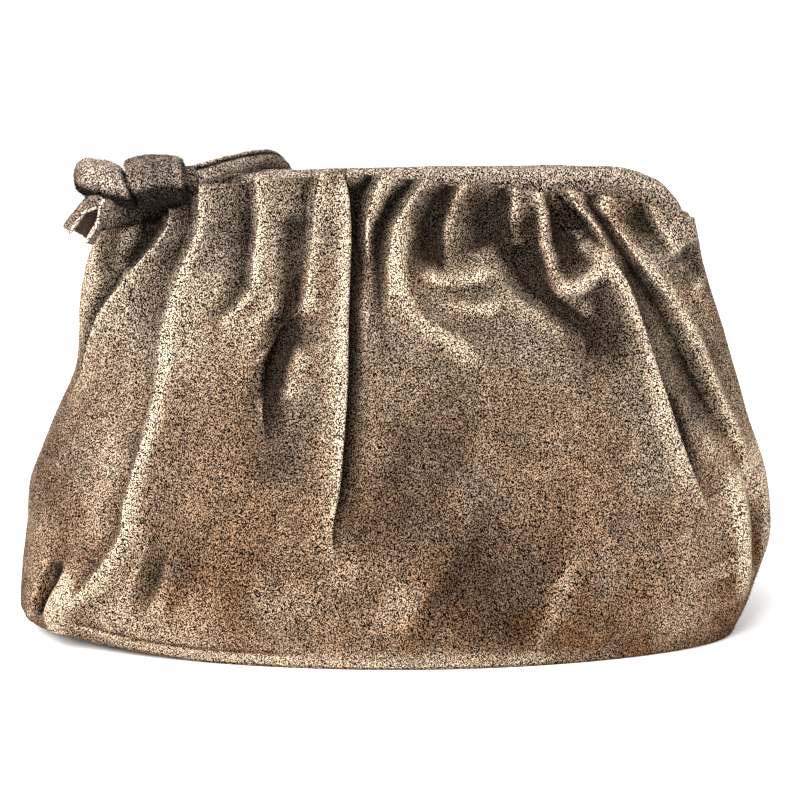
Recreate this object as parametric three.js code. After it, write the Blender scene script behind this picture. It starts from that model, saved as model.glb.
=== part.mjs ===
// A framed pouch bag in suede: a pleated body on a flat base, two covered frame rails and a knotted wrist strap.
// Millimetres. The front faces -Y, +X is the viewer's right, +Z is up and the base rests at Z = 0.
import * as THREE from "three";

// Driving dimensions
const bodyHalfWidth = 165;
const bodyHeight = 203;
const bodyDepth = 80;
const suede = 2.2;
const gap = 0.4;
const foldLift = 5;
const foldReach = 10;
const pleatStep = 2.6;
const baseThickness = 2.2;
const railThickness = 7.5;
const railHeight = 17;
const strapDiameter = 8.5;
const knotRadius = 11;
const tailRadius = 6;
const tailWall = 1.8;

// Mesh density
const panelRows = 18;
const pleatColumns = 5;
const backColumns = 3;
const backRows = 12;

// A table of named columns: one object for each row.
function table(columns, rows) {
  const names = columns.split(" ");
  return rows.map((row) => Object.fromEntries(names.map((name, i) => [name, row[i]])));
}

// Cross-sections of the body, from the base up. Height is a share of the body height, left and right are
// shares of the half width, and front, bulge, back and hind are shares of the body depth.
const sections = table("height left right front bulge back hind round", [
  [0, 0.935, 0.9, 0.52, 0.4, 0.56, 0.14, 7],
  [0.06, 1.012, 0.94, 0.6, 0.38, 0.62, 0.15, 5],
  [0.12, 1.012, 0.972, 0.63, 0.37, 0.64, 0.15, 4.2],
  [0.22, 1.0, 1.004, 0.63, 0.34, 0.64, 0.14, 3.5],
  [0.32, 0.988, 0.99, 0.6, 0.3, 0.62, 0.12, 3.2],
  [0.4, 0.95, 0.963, 0.56, 0.26, 0.58, 0.1, 3],
  [0.49, 0.9, 0.925, 0.51, 0.21, 0.53, 0.08, 2.9],
  [0.59, 0.853, 0.884, 0.44, 0.15, 0.46, 0.06, 2.9],
  [0.71, 0.84, 0.838, 0.34, 0.08, 0.36, 0.03, 3],
  [0.79, 0.825, 0.804, 0.275, 0.04, 0.28, 0.01, 4],
  [0.85, 0.81, 0.784, 0.23, 0.015, 0.23, 0, 5.5],
  [0.89, 0.8, 0.772, 0.21, 0, 0.2, 0, 6],
  [1.0, 0.8, 0.765, 0.2, 0, 0.19, 0, 6],
]);

// Folds of the front panel from the left side seam to the right one, each with rows going down.
// Across is a share of the half width at that height. Left and right are the lift of the suede on each
// side of the fold line (shares of foldLift, a tuck is negative), and the reaches are shares of foldReach.
const foldColumns = "height across left right leftReach rightReach";
const frontFolds = [
  table(foldColumns, [
    [0.92, -0.76, -0.5, 0.5, 1, 1],
    [0.886, -0.766, -0.9, 0.8, 1, 1],
    [0.835, -0.806, -1.1, 0.9, 1, 1.2],
    [0.75, -0.876, -1.0, 0.9, 0.8, 1.4],
    [0.686, -0.93, -0.8, 0.7, 0.7, 1.4],
    [0.586, -0.965, -0.3, 0.3, 0.7, 1.2],
    [0.45, -0.975, 0, 0, 0.7, 1],
    [0, -0.985, 0, 0, 0.7, 1],
  ]),
  table(foldColumns, [
    [0.97, -0.66, -0.6, 0.4, 0.8, 0.8],
    [0.9, -0.665, -0.7, 0.7, 0.9, 0.8],
    [0.763, -0.7, -0.4, 0.9, 1, 0.9],
    [0.625, -0.723, 0.1, 1, 1.2, 1],
    [0.46, -0.706, 0.4, 1.1, 1.2, 1.1],
    [0.29, -0.702, 0.2, 1.1, 1.2, 1.3],
    [0.23, -0.735, 0.2, 1, 1.2, 1.3],
    [0.16, -0.79, 0.3, 0.9, 1.2, 1.4],
    [0.06, -0.89, 0.4, 0.6, 1, 1.2],
    [0, -0.92, 0, 0, 1, 1],
  ]),
  table(foldColumns, [
    [0.985, -0.475, -0.7, 0.4, 0.5, 0.9],
    [0.8, -0.468, -1, 0.6, 0.6, 0.9],
    [0.775, -0.462, -1, 0.6, 0.6, 0.8],
    [0.72, -0.505, -0.9, 0.4, 0.7, 0.7],
    [0.695, -0.54, -0.4, 0.2, 0.7, 0.7],
    [0.6, -0.53, 0, 0, 0.8, 0.8],
    [0.25, -0.48, 0, 0, 1, 1],
    [0, -0.5, 0, 0, 1, 1],
  ]),
  table(foldColumns, [
    [0.99, -0.263, -0.7, 0.6, 0.5, 0.8],
    [0.915, -0.283, -0.8, 0.9, 0.5, 0.9],
    [0.8, -0.287, -1, 0.8, 0.6, 0.9],
    [0.73, -0.296, -1.2, 0.7, 0.7, 0.9],
    [0.69, -0.345, -1.1, 0.4, 0.7, 0.8],
    [0.615, -0.41, -0.3, -0.9, 0.6, 0.8],
    [0.565, -0.41, 0.2, -0.9, 0.7, 0.8],
    [0.52, -0.375, 0, -0.3, 0.8, 0.8],
    [0.42, -0.36, 0, 0, 0.8, 0.8],
    [0, -0.36, 0, 0, 1, 1],
  ]),
  table(foldColumns, [
    [0.99, -0.174, 0.4, 0.3, 0.9, 0.8],
    [0.945, -0.172, 0.8, -0.5, 0.9, 0.8],
    [0.84, -0.163, 0.9, -1.3, 0.9, 0.9],
    [0.69, -0.16, 0.9, -1.1, 0.9, 0.9],
    [0.56, -0.156, 0.9, -0.8, 0.9, 0.9],
    [0.386, -0.154, 0.9, -0.6, 0.9, 0.9],
    [0.295, -0.177, 0.6, -0.5, 0.9, 0.9],
    [0.22, -0.15, 0.2, -0.2, 0.8, 0.8],
    [0.16, -0.136, 0, 0, 1, 1],
    [0, -0.13, 0, 0, 1, 1],
  ]),
  table(foldColumns, [
    [0.985, -0.063, -0.7, 0.4, 0.5, 0.8],
    [0.95, -0.09, -1, 0.5, 0.6, 0.7],
    [0.905, -0.11, -1, 0.5, 0.5, 0.6],
    [0.86, -0.115, -0.8, 0.3, 0.5, 0.5],
    [0.8, -0.1, -0.5, 0, 0.5, 0.5],
    [0.7, -0.085, 0, 0, 0.5, 0.5],
    [0.25, -0.085, 0, 0, 0.6, 0.6],
    [0, -0.07, 0, 0, 1, 1],
  ]),
  table(foldColumns, [
    [0.98, 0.079, -0.7, 0.5, 0.5, 0.8],
    [0.925, 0.016, -1, 0.7, 0.6, 0.8],
    [0.873, -0.026, -1.1, 0.8, 0.6, 0.9],
    [0.8, -0.04, -0.9, 0.9, 0.6, 0.9],
    [0.74, -0.04, -0.4, 0.5, 0.7, 0.9],
    [0.62, -0.02, 0, 0, 0.8, 0.9],
    [0.25, 0, 0, 0, 1, 1],
    [0, 0, 0, 0, 1, 1],
  ]),
  table(foldColumns, [
    [0.97, 0.21, -0.7, 0.5, 0.5, 0.8],
    [0.935, 0.178, -1.2, 0.6, 0.7, 0.7],
    [0.897, 0.152, -1.4, 0.7, 0.8, 0.6],
    [0.85, 0.142, -1.3, 0.6, 0.8, 0.6],
    [0.812, 0.152, -0.9, 0.3, 0.8, 0.6],
    [0.77, 0.17, 0, 0, 0.8, 0.6],
    [0.5, 0.17, 0, 0, 1, 1],
    [0, 0.13, 0, 0, 1, 1],
  ]),
  table(foldColumns, [
    [0.96, 0.375, -0.8, 0.6, 0.6, 0.9],
    [0.906, 0.36, -1.2, 0.9, 0.8, 1],
    [0.867, 0.352, -1.4, 1, 0.9, 1],
    [0.817, 0.358, -1.5, 1.1, 0.9, 1],
    [0.773, 0.388, -1.5, 1.2, 0.9, 1],
    [0.735, 0.44, -1.3, 1, 0.9, 0.8],
    [0.69, 0.53, -0.8, 0.5, 0.9, 0.7],
    [0.64, 0.53, 0, 0, 0.9, 0.9],
    [0.5, 0.44, 0, 0, 1, 1],
    [0.25, 0.33, 0, 0, 1, 1],
    [0, 0.3, 0, 0, 1, 1],
  ]),
  table(foldColumns, [
    [0.955, 0.552, -0.5, 0.6, 0.5, 0.5],
    [0.925, 0.58, -1.2, 0.8, 0.8, 0.5],
    [0.892, 0.635, -1.2, 0.9, 0.9, 0.5],
    [0.856, 0.675, -0.6, 1, 0.8, 0.6],
    [0.822, 0.7, 0.6, 1.1, 0.8, 0.6],
    [0.784, 0.727, 0.8, 1, 0.9, 0.6],
    [0.715, 0.744, 0.8, 0.9, 1, 0.6],
    [0.6, 0.757, 0.8, 0.8, 1, 0.6],
    [0.49, 0.764, 0.8, 0.7, 1, 0.7],
    [0.373, 0.778, 0.4, 0.4, 1, 0.8],
    [0.28, 0.82, 0, 0, 1, 1],
    [0, 0.85, 0, 0, 1, 1],
  ]),
  table(foldColumns, [
    [0.945, 0.674, -0.6, 0.4, 0.5, 0.8],
    [0.925, 0.665, -0.6, 0.4, 0.5, 0.8],
    [0.89, 0.7, -0.6, 0.3, 0.5, 0.8],
    [0.847, 0.735, -0.6, 0.6, 0.5, 0.8],
    [0.813, 0.765, -0.6, 0.8, 0.6, 0.8],
    [0.771, 0.8, -0.5, 0.9, 0.7, 0.8],
    [0.721, 0.84, -0.6, 0.9, 0.8, 0.8],
    [0.656, 0.875, -0.7, 0.9, 0.9, 0.7],
    [0.574, 0.9, -0.6, 0.8, 0.9, 0.7],
    [0.463, 0.925, -0.2, 0.7, 0.9, 0.7],
    [0.371, 0.935, 0, 0.4, 0.9, 0.7],
    [0.28, 0.94, 0, 0, 0.9, 0.7],
    [0, 0.94, 0, 0, 1, 1],
  ]),
  table(foldColumns, [
    [0.93, 0.832, -0.6, 0.1, 0.6, 0.8],
    [0.887, 0.85, -0.7, 0.2, 0.7, 0.7],
    [0.847, 0.878, -0.4, 0.4, 0.7, 0.6],
    [0.81, 0.905, 0, 0.4, 0.7, 0.5],
    [0.74, 0.93, 0.2, 0.2, 0.7, 0.5],
    [0.6, 0.955, 0, 0, 0.7, 0.5],
    [0, 0.975, 0, 0, 0.7, 0.5],
  ]),
];

// Top and bottom edge of the front panel at each fold line: height left and right of the line, as a share
// of the body height. The first and last rows are the side seams.
const frontEdges = table("topLeft topRight bottomLeft bottomRight", [
  [0.889, 0.889, 0.03, 0.03],
  [0.886, 0.912, 0.044, 0.044],
  [0.921, 0.966, 0.05, 0.05],
  [0.964, 0.98, 0.014, 0.014],
  [0.976, 0.99, 0.014, 0.014],
  [0.994, 0.994, 0.014, 0.014],
  [0.978, 0.987, 0.014, 0.014],
  [0.968, 0.979, 0.014, 0.014],
  [0.955, 0.966, 0.014, 0.014],
  [0.952, 0.958, 0.014, 0.014],
  [0.941, 0.952, 0.014, 0.014],
  [0.938, 0.942, 0.014, 0.014],
  [0.92, 0.92, 0.014, 0.014],
  [0.875, 0.875, 0.014, 0.014],
]);

// Smaller creases, ridges and dents of the front panel. Lift and reaches are shares of foldLift and
// foldReach, and each path runs through points of across and height shares.
const frontMarks = [
  { name: "side fold", lift: 0.5, reach: 0.5, path: [[-0.885, 0.9], [-0.885, 0.76]] },
  { name: "side crease", lift: -0.7, reach: 0.5, path: [[-0.925, 0.9], [-0.93, 0.76]] },
  { name: "middle pleat crease", lift: -0.6, reach: 0.4, path: [[-0.347, 0.878], [-0.335, 0.744], [-0.355, 0.7]] },
  { name: "left pocket", lift: -0.7, reach: 0.6,
    path: [[-0.33, 0.69], [-0.366, 0.65], [-0.395, 0.61], [-0.395, 0.572], [-0.37, 0.534]] },
  { name: "pocket ridge", lift: 0.4, reach: 0.6, path: [[-0.285, 0.66], [-0.33, 0.6], [-0.33, 0.54]] },
  { name: "centre ridge", lift: 0.8, reach: 0.75,
    path: [[0.01, 0.868], [0.003, 0.816], [0.018, 0.762], [0.048, 0.717], [0.094, 0.685], [0.165, 0.657],
      [0.22, 0.623], [0.267, 0.594]] },
  { name: "centre pocket", lift: -0.8, reach: 0.8, path: [[0.12, 0.92], [0.1, 0.878], [0.1, 0.83], [0.13, 0.8]] },
  { name: "upper swag", lift: 0.6, reach: 0.5,
    path: [[0.055, 0.81], [0.11, 0.778], [0.175, 0.77], [0.253, 0.778], [0.315, 0.787]] },
  { name: "swag crease", lift: -0.4, reach: 0.4, path: [[0.11, 0.755], [0.2, 0.747], [0.31, 0.755]] },
  { name: "lower swag", lift: 0.5, reach: 0.5, path: [[0.095, 0.744], [0.17, 0.73], [0.246, 0.725], [0.337, 0.72]] },
  { name: "pleat hollow", lift: -0.7, reach: 1, path: [[0.277, 0.908], [0.3, 0.83]] },
  { name: "roll over the valley", lift: 0.6, reach: 0.9,
    path: [[0.47, 0.8], [0.5, 0.755], [0.57, 0.735], [0.64, 0.73]] },
  { name: "right pocket", lift: -1.6, reach: 0.6, path: [[0.548, 0.925], [0.565, 0.873], [0.572, 0.835]] },
  { name: "pocket rim", lift: 1, reach: 0.5,
    path: [[0.47, 0.95], [0.495, 0.905], [0.487, 0.845], [0.495, 0.785], [0.52, 0.762], [0.575, 0.765],
      [0.635, 0.79], [0.672, 0.825]] },
  { name: "side slot", lift: -1, reach: 0.6, path: [[0.93, 0.838], [0.955, 0.75]] },
  { name: "right valley", lift: -0.8, reach: 0.9,
    path: [[0.765, 0.76], [0.81, 0.69], [0.845, 0.585], [0.865, 0.5], [0.885, 0.44]] },
  { name: "corner edge", lift: 0.9, reach: 0.6,
    path: [[0.9, 0.4], [0.885, 0.33], [0.885, 0.25], [0.9, 0.17], [0.94, 0.07]] },
  { name: "corner crease", lift: -1.3, reach: 0.7, path: [[0.965, 0.38], [0.96, 0.25], [0.98, 0.13]] },
  { name: "kink under the long fold", lift: 0.5, reach: 0.6, path: [[-0.175, 0.29], [-0.12, 0.243], [-0.13, 0.16]] },
  { name: "low left dent", lift: -0.7, reach: 1.8, path: [[-0.66, 0.19], [-0.6, 0.17]] },
  { name: "low middle dent", lift: -0.8, reach: 2.4, path: [[0.12, 0.25], [0.31, 0.16], [0.41, 0.13]] },
];

// The back panel is plainer: even gathers that fade by the fade height.
const backPleats = 10;
const backFade = 0.62;
const backTop = 0.955;
const backSideTop = 0.893;
const backBottom = 0.014;

// Outline of the frame, from its left end over the top to its right end. Across is a share of the half
// width and height a share of the body height.
const frameOutline = [
  [-0.762, 0.83], [-0.762, 0.87], [-0.752, 0.903], [-0.72, 0.936], [-0.665, 0.958], [-0.58, 0.97],
  [-0.45, 0.978], [-0.3, 0.985], [-0.14, 0.99], [0.1, 0.994], [0.3, 0.995], [0.5, 0.995], [0.575, 0.992],
  [0.64, 0.978], [0.7, 0.952], [0.737, 0.916], [0.75, 0.88], [0.754, 0.83],
];

// Route of the strap's middle line in millimetres: from the knot over the rails, down the back and round
// to the knot again.
const strapRoute = [
  [-85.5, -15, 200.5], [-80, -13.6, 202], [-74.8, -10.6, 203.3], [-70, -6.5, 204], [-65.5, -2, 204.4],
  [-61, 3.3, 204.5], [-57, 9, 204], [-53.6, 14.4, 202], [-51, 20.6, 198.4], [-49.2, 25, 192],
  [-47.6, 27, 184], [-46, 28.6, 175.5], [-44, 33, 164.5], [-41.5, 39.5, 150], [-40, 46, 135],
  [-39, 52, 118], [-42, 57.5, 101], [-48, 62, 86], [-59, 65, 75],
  [-73, 66, 72], [-86, 63.5, 77], [-95, 59, 88], [-100, 54, 102], [-103, 48, 119], [-105, 41, 136],
  [-106, 34.5, 152], [-107, 28.5, 168], [-107.5, 25, 180], [-107.2, 22.5, 188.5], [-106.6, 17.5, 196.7],
  [-106, 10.5, 201.4], [-105.4, 2, 202.9], [-105, -4.5, 202.8], [-105, -8.8, 202.6],
];

// Sections of the knot along its axis: place along it, radius and lean as shares of knotRadius.
const knotSections = table("along radius drop lean", [
  [-2.98, 0.3, 0.02, 0],
  [-2.88, 0.52, 0.02, 0],
  [-2.6, 0.7, 0, 0],
  [-2.2, 0.8, 0.02, 0.1],
  [-1.65, 0.88, 0.16, 0.25],
  [-1.2, 0.9, 0.28, 0.3],
  [-0.96, 0.82, 0.3, 0.3],
  [-0.84, 0.7, 0.24, 0.3],
  [-0.72, 0.72, 0.16, 0.3],
  [-0.6, 0.9, 0.13, 0.27],
  [-0.1, 0.99, 0.05, 0.2],
  [0.6, 1.01, -0.02, 0.15],
  [1.1, 0.94, 0, 0.12],
  [1.26, 0.82, 0, 0.1],
  [1.31, 0.6, 0, 0.1],
]);

// The knot hangs in front of the frame's left corner, just above the body's top edge.
const knotCentre = [
  -0.627 * bodyHalfWidth,
  -(gap / 2 + railThickness + 3 * gap + knotRadius),
  0.921 * bodyHeight + 1.02 * knotRadius + 3 * gap,
];

// Route of the tail's middle line from under the knot to its cut end, as shares of knotRadius from the
// knot's centre, with its start one tail radius lower.
const tailRoute = [
  [-2.14, -0.21, -0.51], [-2.41, -0.27, -0.88], [-2.68, -0.31, -1.26], [-2.91, -0.33, -1.6],
];

// Plain numbers

function mix(a, b, t) {
  return a + (b - a) * t;
}

// A smooth curve through a table's column that never overshoots its rows. Heights may run up or down.
function curveAt(rows, key, at, column) {
  const n = rows.length;
  const up = rows[n - 1][key] > rows[0][key];
  const x = (i) => rows[up ? i : n - 1 - i][key];
  const y = (i) => rows[up ? i : n - 1 - i][column];
  if (at <= x(0)) return y(0);
  if (at >= x(n - 1)) return y(n - 1);
  let k = 0;
  while (at > x(k + 1)) k += 1;
  const rise = (i) => (y(i + 1) - y(i)) / (x(i + 1) - x(i));
  const slope = (i) => {
    if (i <= 0 || i >= n - 1) return rise(Math.max(0, Math.min(n - 2, i)));
    const a = rise(i - 1);
    const b = rise(i);
    return a * b <= 0 ? 0 : (2 * a * b) / (a + b);
  };
  const width = x(k + 1) - x(k);
  const t = (at - x(k)) / width;
  const a = slope(k) * width;
  const b = slope(k + 1) * width;
  const step = y(k + 1) - y(k);
  return y(k) + t * (a + t * (3 * step - 2 * a - b + t * (a + b - 2 * step)));
}

// The body's cross-section at a height share: half of it, in front or behind, as points from the middle
// (arc length 0) out to both side seams.
const halfSteps = 36;

function sectionAt(height, behind) {
  const at = (column) => curveAt(sections, "height", height, column);
  const round = at("round");
  const depth = bodyDepth * at(behind ? "back" : "front");
  const bulge = bodyDepth * at(behind ? "hind" : "bulge");
  const sign = behind ? 1 : -1;
  const halves = [-1, 1].map((side) => {
    const width = bodyHalfWidth * at(side < 0 ? "left" : "right");
    const points = [];
    let length = 0;
    for (let i = 0; i <= halfSteps; i += 1) {
      const angle = (Math.PI / 2) * (i / halfSteps);
      const s = Math.sin(angle);
      const c = Math.cos(angle);
      const reach = 1 / (s ** round + c ** round) ** (1 / round);
      const share = s * reach;
      const x = side * width * share;
      const y = sign * (depth * c * reach + bulge * (1 - share * share));
      if (i) length += Math.hypot(x - points[i - 1].x, y - points[i - 1].y);
      points.push({ x, y, share, length });
    }
    return points;
  });
  return { left: halves[0], right: halves[1] };
}

// Signed arc length from the middle to a share of the half width.
function arcTo(section, across) {
  const points = across < 0 ? section.left : section.right;
  const share = Math.min(Math.abs(across), 1);
  let k = 0;
  while (k < halfSteps - 1 && points[k + 1].share < share) k += 1;
  const t = (share - points[k].share) / (points[k + 1].share - points[k].share);
  return Math.sign(across) * mix(points[k].length, points[k + 1].length, Math.min(t, 1));
}

// Point and outward direction at a signed arc length.
function pointAt(section, arc) {
  const points = arc < 0 ? section.left : section.right;
  const length = Math.min(Math.abs(arc), points[halfSteps].length);
  let k = 0;
  while (k < halfSteps - 1 && points[k + 1].length < length) k += 1;
  const a = points[k];
  const b = points[k + 1];
  const t = (length - a.length) / (b.length - a.length);
  const tangent = (i) => {
    const p = points[Math.max(i - 1, 0)];
    const q = points[Math.min(i + 1, halfSteps)];
    const level = i <= 0 ? [Math.sign(q.x) || 1, 0] : [q.x - p.x, q.y - p.y];
    const size = Math.hypot(...level);
    return [level[0] / size, level[1] / size];
  };
  const [ax, ay] = tangent(k);
  const [bx, by] = tangent(k + 1);
  const tx = mix(ax, bx, t);
  const ty = mix(ay, by, t);
  const size = Math.hypot(tx, ty);
  let nx = ty / size;
  let ny = -tx / size;
  const x = mix(a.x, b.x, t);
  const y = mix(a.y, b.y, t);
  if (nx * x + ny * y < 0) {
    nx = -nx;
    ny = -ny;
  }
  return { x, y, nx, ny };
}

// Marks as paths in arc length and height.
function laidOut(marks) {
  return marks.map((mark) => ({
    lift: mark.lift * foldLift,
    reach: mark.reach * foldReach,
    path: mark.path.map(([across, height]) => [
      arcTo(sectionAt(height, false), across),
      height * bodyHeight,
    ]),
  }));
}

function distanceTo(path, u, z) {
  let best = Infinity;
  for (let i = 0; i + 1 < path.length; i += 1) {
    const [ax, ay] = path[i];
    const dx = path[i + 1][0] - ax;
    const dy = path[i + 1][1] - ay;
    const t = Math.max(0, Math.min(1, ((u - ax) * dx + (z - ay) * dy) / (dx * dx + dy * dy)));
    best = Math.min(best, Math.hypot(u - ax - dx * t, z - ay - dy * t));
  }
  return best;
}

function bump(distance, reach) {
  return Math.exp(-((distance / reach) ** 2));
}

// The lift that keeps a wall's inner face clear of the frame rails, in the part of the body that holds them.
function clearOfRails(p, lift, height) {
  if (height < 0.81) return lift;
  const end = p.x < 0 ? -frameOutline[0][0] : frameOutline[frameOutline.length - 1][0];
  const railEnd = bodyHalfWidth * end + gap * 2;
  const railFace = gap / 2 + railThickness + gap * 2;
  const overX = (railEnd - Math.abs(p.x)) / Math.max(Math.abs(p.nx), 0.001) + suede - lift;
  const overY = (railFace - Math.abs(p.y)) / Math.max(Math.abs(p.ny), 0.001) + suede - lift;
  return lift + Math.max(0, Math.min(overX, overY));
}

const straightRow = { left: 0, right: 0, leftReach: 1, rightReach: 1 };

// One panel of the body. Its columns follow the fold lines from the left seam to the right one, and its
// rows run from the bottom edge to the top edge.
function panel(folds, edges, marks, behind, columns, rows) {
  const laid = laidOut(marks);
  const lines = folds.length;
  const outer = [];
  const inner = [];
  const lineAt = (i, height) => {
    if (i < 0 || i >= lines) return { ...straightRow, across: i < 0 ? -1 : 1 };
    const at = (column) => curveAt(folds[i], "height", height, column);
    return {
      across: at("across"),
      left: at("left"),
      right: at("right"),
      leftReach: at("leftReach"),
      rightReach: at("rightReach"),
    };
  };
  for (let pleat = 0; pleat <= lines; pleat += 1) {
    for (let c = 0; c <= columns; c += 1) {
      const w = c / columns;
      const top = bodyHeight * mix(edges[pleat].topRight, edges[pleat + 1].topLeft, w);
      const bottom = bodyHeight * mix(edges[pleat].bottomRight, edges[pleat + 1].bottomLeft, w);
      const outerColumn = [];
      const innerColumn = [];
      for (let r = 0; r <= rows; r += 1) {
        const z = mix(bottom, top, r / rows);
        const height = z / bodyHeight;
        const section = sectionAt(height, behind);
        const a = lineAt(pleat - 1, height);
        const b = lineAt(pleat, height);
        const ua = arcTo(section, a.across);
        const ub = arcTo(section, b.across);
        const room = (ub - ua) / 4;
        const from = ua + Math.min(pleat ? pleatStep / 2 : gap / 2, room);
        const to = ub - Math.min(pleat < lines ? pleatStep / 2 : gap / 2, room);
        const u = mix(from, to, w);
        let lift = foldLift * a.right * bump(u - from, a.rightReach * foldReach);
        lift += foldLift * b.left * bump(to - u, b.leftReach * foldReach);
        for (const mark of laid) lift += mark.lift * bump(distanceTo(mark.path, u, z), mark.reach);
        lift *= Math.min(1, z / (0.05 * bodyHeight));
        const p = pointAt(section, u);
        lift = clearOfRails(p, lift, height);
        outerColumn.push([p.x + p.nx * lift, p.y + p.ny * lift, z]);
        innerColumn.push([p.x + p.nx * (lift - suede), p.y + p.ny * (lift - suede), z]);
      }
      outer.push(outerColumn);
      inner.push(innerColumn);
    }
  }
  return shell(outer, inner, !behind);
}

// A closed solid between two grids of the same size.
function shell(outer, inner, outward) {
  const across = outer.length;
  const along = outer[0].length;
  const vertices = [...outer.flat(), ...inner.flat()];
  const at = (i, j, side) => side * across * along + i * along + j;
  const faces = [];
  const quad = (a, b, c, d) => {
    faces.push([a, b, c], [a, c, d]);
  };
  for (let i = 0; i + 1 < across; i += 1) {
    for (let j = 0; j + 1 < along; j += 1) {
      quad(at(i, j, 0), at(i + 1, j, 0), at(i + 1, j + 1, 0), at(i, j + 1, 0));
      quad(at(i, j, 1), at(i, j + 1, 1), at(i + 1, j + 1, 1), at(i + 1, j, 1));
    }
    quad(at(i, 0, 0), at(i, 0, 1), at(i + 1, 0, 1), at(i + 1, 0, 0));
    quad(at(i, along - 1, 0), at(i + 1, along - 1, 0), at(i + 1, along - 1, 1), at(i, along - 1, 1));
  }
  for (let j = 0; j + 1 < along; j += 1) {
    quad(at(0, j, 0), at(0, j + 1, 0), at(0, j + 1, 1), at(0, j, 1));
    quad(at(across - 1, j, 0), at(across - 1, j, 1), at(across - 1, j + 1, 1), at(across - 1, j + 1, 0));
  }
  return { vertices, faces: outward ? faces : faces.map(([a, b, c]) => [a, c, b]) };
}

// A solid skin over rings of the same size. The first and last rings are closed with a flat fan.
function skin(rings) {
  const round = rings[0].length;
  const vertices = rings.flat();
  const faces = [];
  for (let i = 0; i + 1 < rings.length; i += 1) {
    for (let j = 0; j < round; j += 1) {
      const a = i * round + j;
      const b = i * round + ((j + 1) % round);
      faces.push([a, b, b + round], [a, b + round, a + round]);
    }
  }
  const middle = (ring) => [0, 1, 2].map((k) => ring.reduce((sum, p) => sum + p[k], 0) / ring.length);
  const last = (rings.length - 1) * round;
  vertices.push(middle(rings[0]), middle(rings[rings.length - 1]));
  for (let j = 0; j < round; j += 1) {
    const next = (j + 1) % round;
    faces.push([vertices.length - 2, next, j]);
    faces.push([vertices.length - 1, last + j, last + next]);
  }
  return { vertices, faces };
}

function geometryOf({ vertices, faces }) {
  const geometry = new THREE.BufferGeometry();
  geometry.setAttribute("position", new THREE.Float32BufferAttribute(vertices.flat(), 3));
  geometry.setIndex(faces.flat());
  geometry.computeVertexNormals();
  return geometry;
}

// The signed volume, to turn a skin whose rings were listed the other way round.
function facingOut(body) {
  const { vertices, faces } = body;
  const volume = faces.reduce((sum, [a, b, c]) => {
    const [p, q, r] = [vertices[a], vertices[b], vertices[c]].map((v) => new THREE.Vector3(...v));
    return sum + p.dot(q.cross(r));
  }, 0);
  return volume > 0 ? body : { vertices, faces: faces.map(([a, b, c]) => [a, c, b]) };
}

// Back panel tables, worked out from even gathers
function backFolds() {
  const folds = [];
  for (let i = 1; i < backPleats; i += 1) {
    const across = -0.86 + (1.72 * i) / backPleats;
    const side = across < 0 ? 1 : -1;
    const slip = 0.02 * Math.sin(i * 2.3);
    folds.push(
      table(foldColumns, [
        [1, across, side > 0 ? -0.5 : 0.4, side > 0 ? 0.4 : -0.5, 0.7, 0.7],
        [0.85, across * 1.01 + slip, side > 0 ? -0.8 : 0.7, side > 0 ? 0.7 : -0.8, 0.8, 0.8],
        [0.74, across * 1.02 + slip, side > 0 ? -0.3 : 0.5, side > 0 ? 0.5 : -0.3, 0.9, 0.9],
        [backFade + 0.04 * Math.sin(i * 1.7), across * 1.03, 0, 0, 1, 1],
        [0, across * 1.05, 0, 0, 1, 1],
      ]),
    );
  }
  return folds;
}

function backEdges() {
  const edges = [];
  for (let i = 0; i <= backPleats; i += 1) {
    const share = Math.abs(i / (backPleats / 2) - 1);
    const top = mix(backTop, backSideTop, share ** 4);
    const corner = i === 0 ? 0.03 : backBottom;
    edges.push({
      topLeft: top,
      topRight: top + (i > 0 && i < backPleats ? 0.006 : 0),
      bottomLeft: corner,
      bottomRight: corner,
    });
  }
  return edges;
}

// The base panel: a flat plate whose rim follows the walls' lower edge, a little under it.
function basePanel() {
  const frontCount = 38;
  const backCount = 20;
  const half = (section, arc) => (arc < 0 ? section.left : section.right)[halfSteps].length;
  const walk = (behind, count, edges, folds) => {
    const flat = sectionAt(0, behind);
    const acrosses = [-1, ...folds.map((fold) => curveAt(fold, "height", 0, "across")), 1];
    const places = acrosses.map((across) => arcTo(flat, across));
    const points = [];
    for (let i = 0; i < count; i += 1) {
      const arc = mix(-half(flat, -1), half(flat, 1), (i + 0.5) / count);
      let k = 0;
      while (k < places.length - 2 && arc > places[k + 1]) k += 1;
      const t = (arc - places[k]) / (places[k + 1] - places[k]);
      const z = bodyHeight * mix(edges[k].bottomRight, edges[k + 1].bottomLeft, t);
      const section = sectionAt(z / bodyHeight, behind);
      const point = pointAt(section, (arc / half(flat, arc)) * half(section, arc));
      points.push([point.x, point.y, z - gap - 0.3]);
    }
    return points;
  };
  const rim = [
    ...walk(false, frontCount, frontEdges, frontFolds),
    ...walk(true, backCount, backEdges(), backFolds()).reverse(),
  ];
  const inset = (share, level) =>
    rim.map(([x, y, z]) => [x * share, y * share, Math.max(0, level(z))]);
  const lowest = bodyHeight * backBottom - gap - 0.3;
  return facingOut(
    skin([
      inset(0.62, () => 0),
      inset(0.9, (z) => (z - lowest) * 0.12),
      inset(0.985, (z) => (z - lowest) * 0.8),
      inset(0.995, (z) => (z - lowest) * 0.95 + 0.5),
      inset(0.995, (z) => z),
      inset(0.9, (z) => (z - lowest) * 0.12 + lowest),
      inset(0.62, () => baseThickness),
    ]),
  );
}

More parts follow.
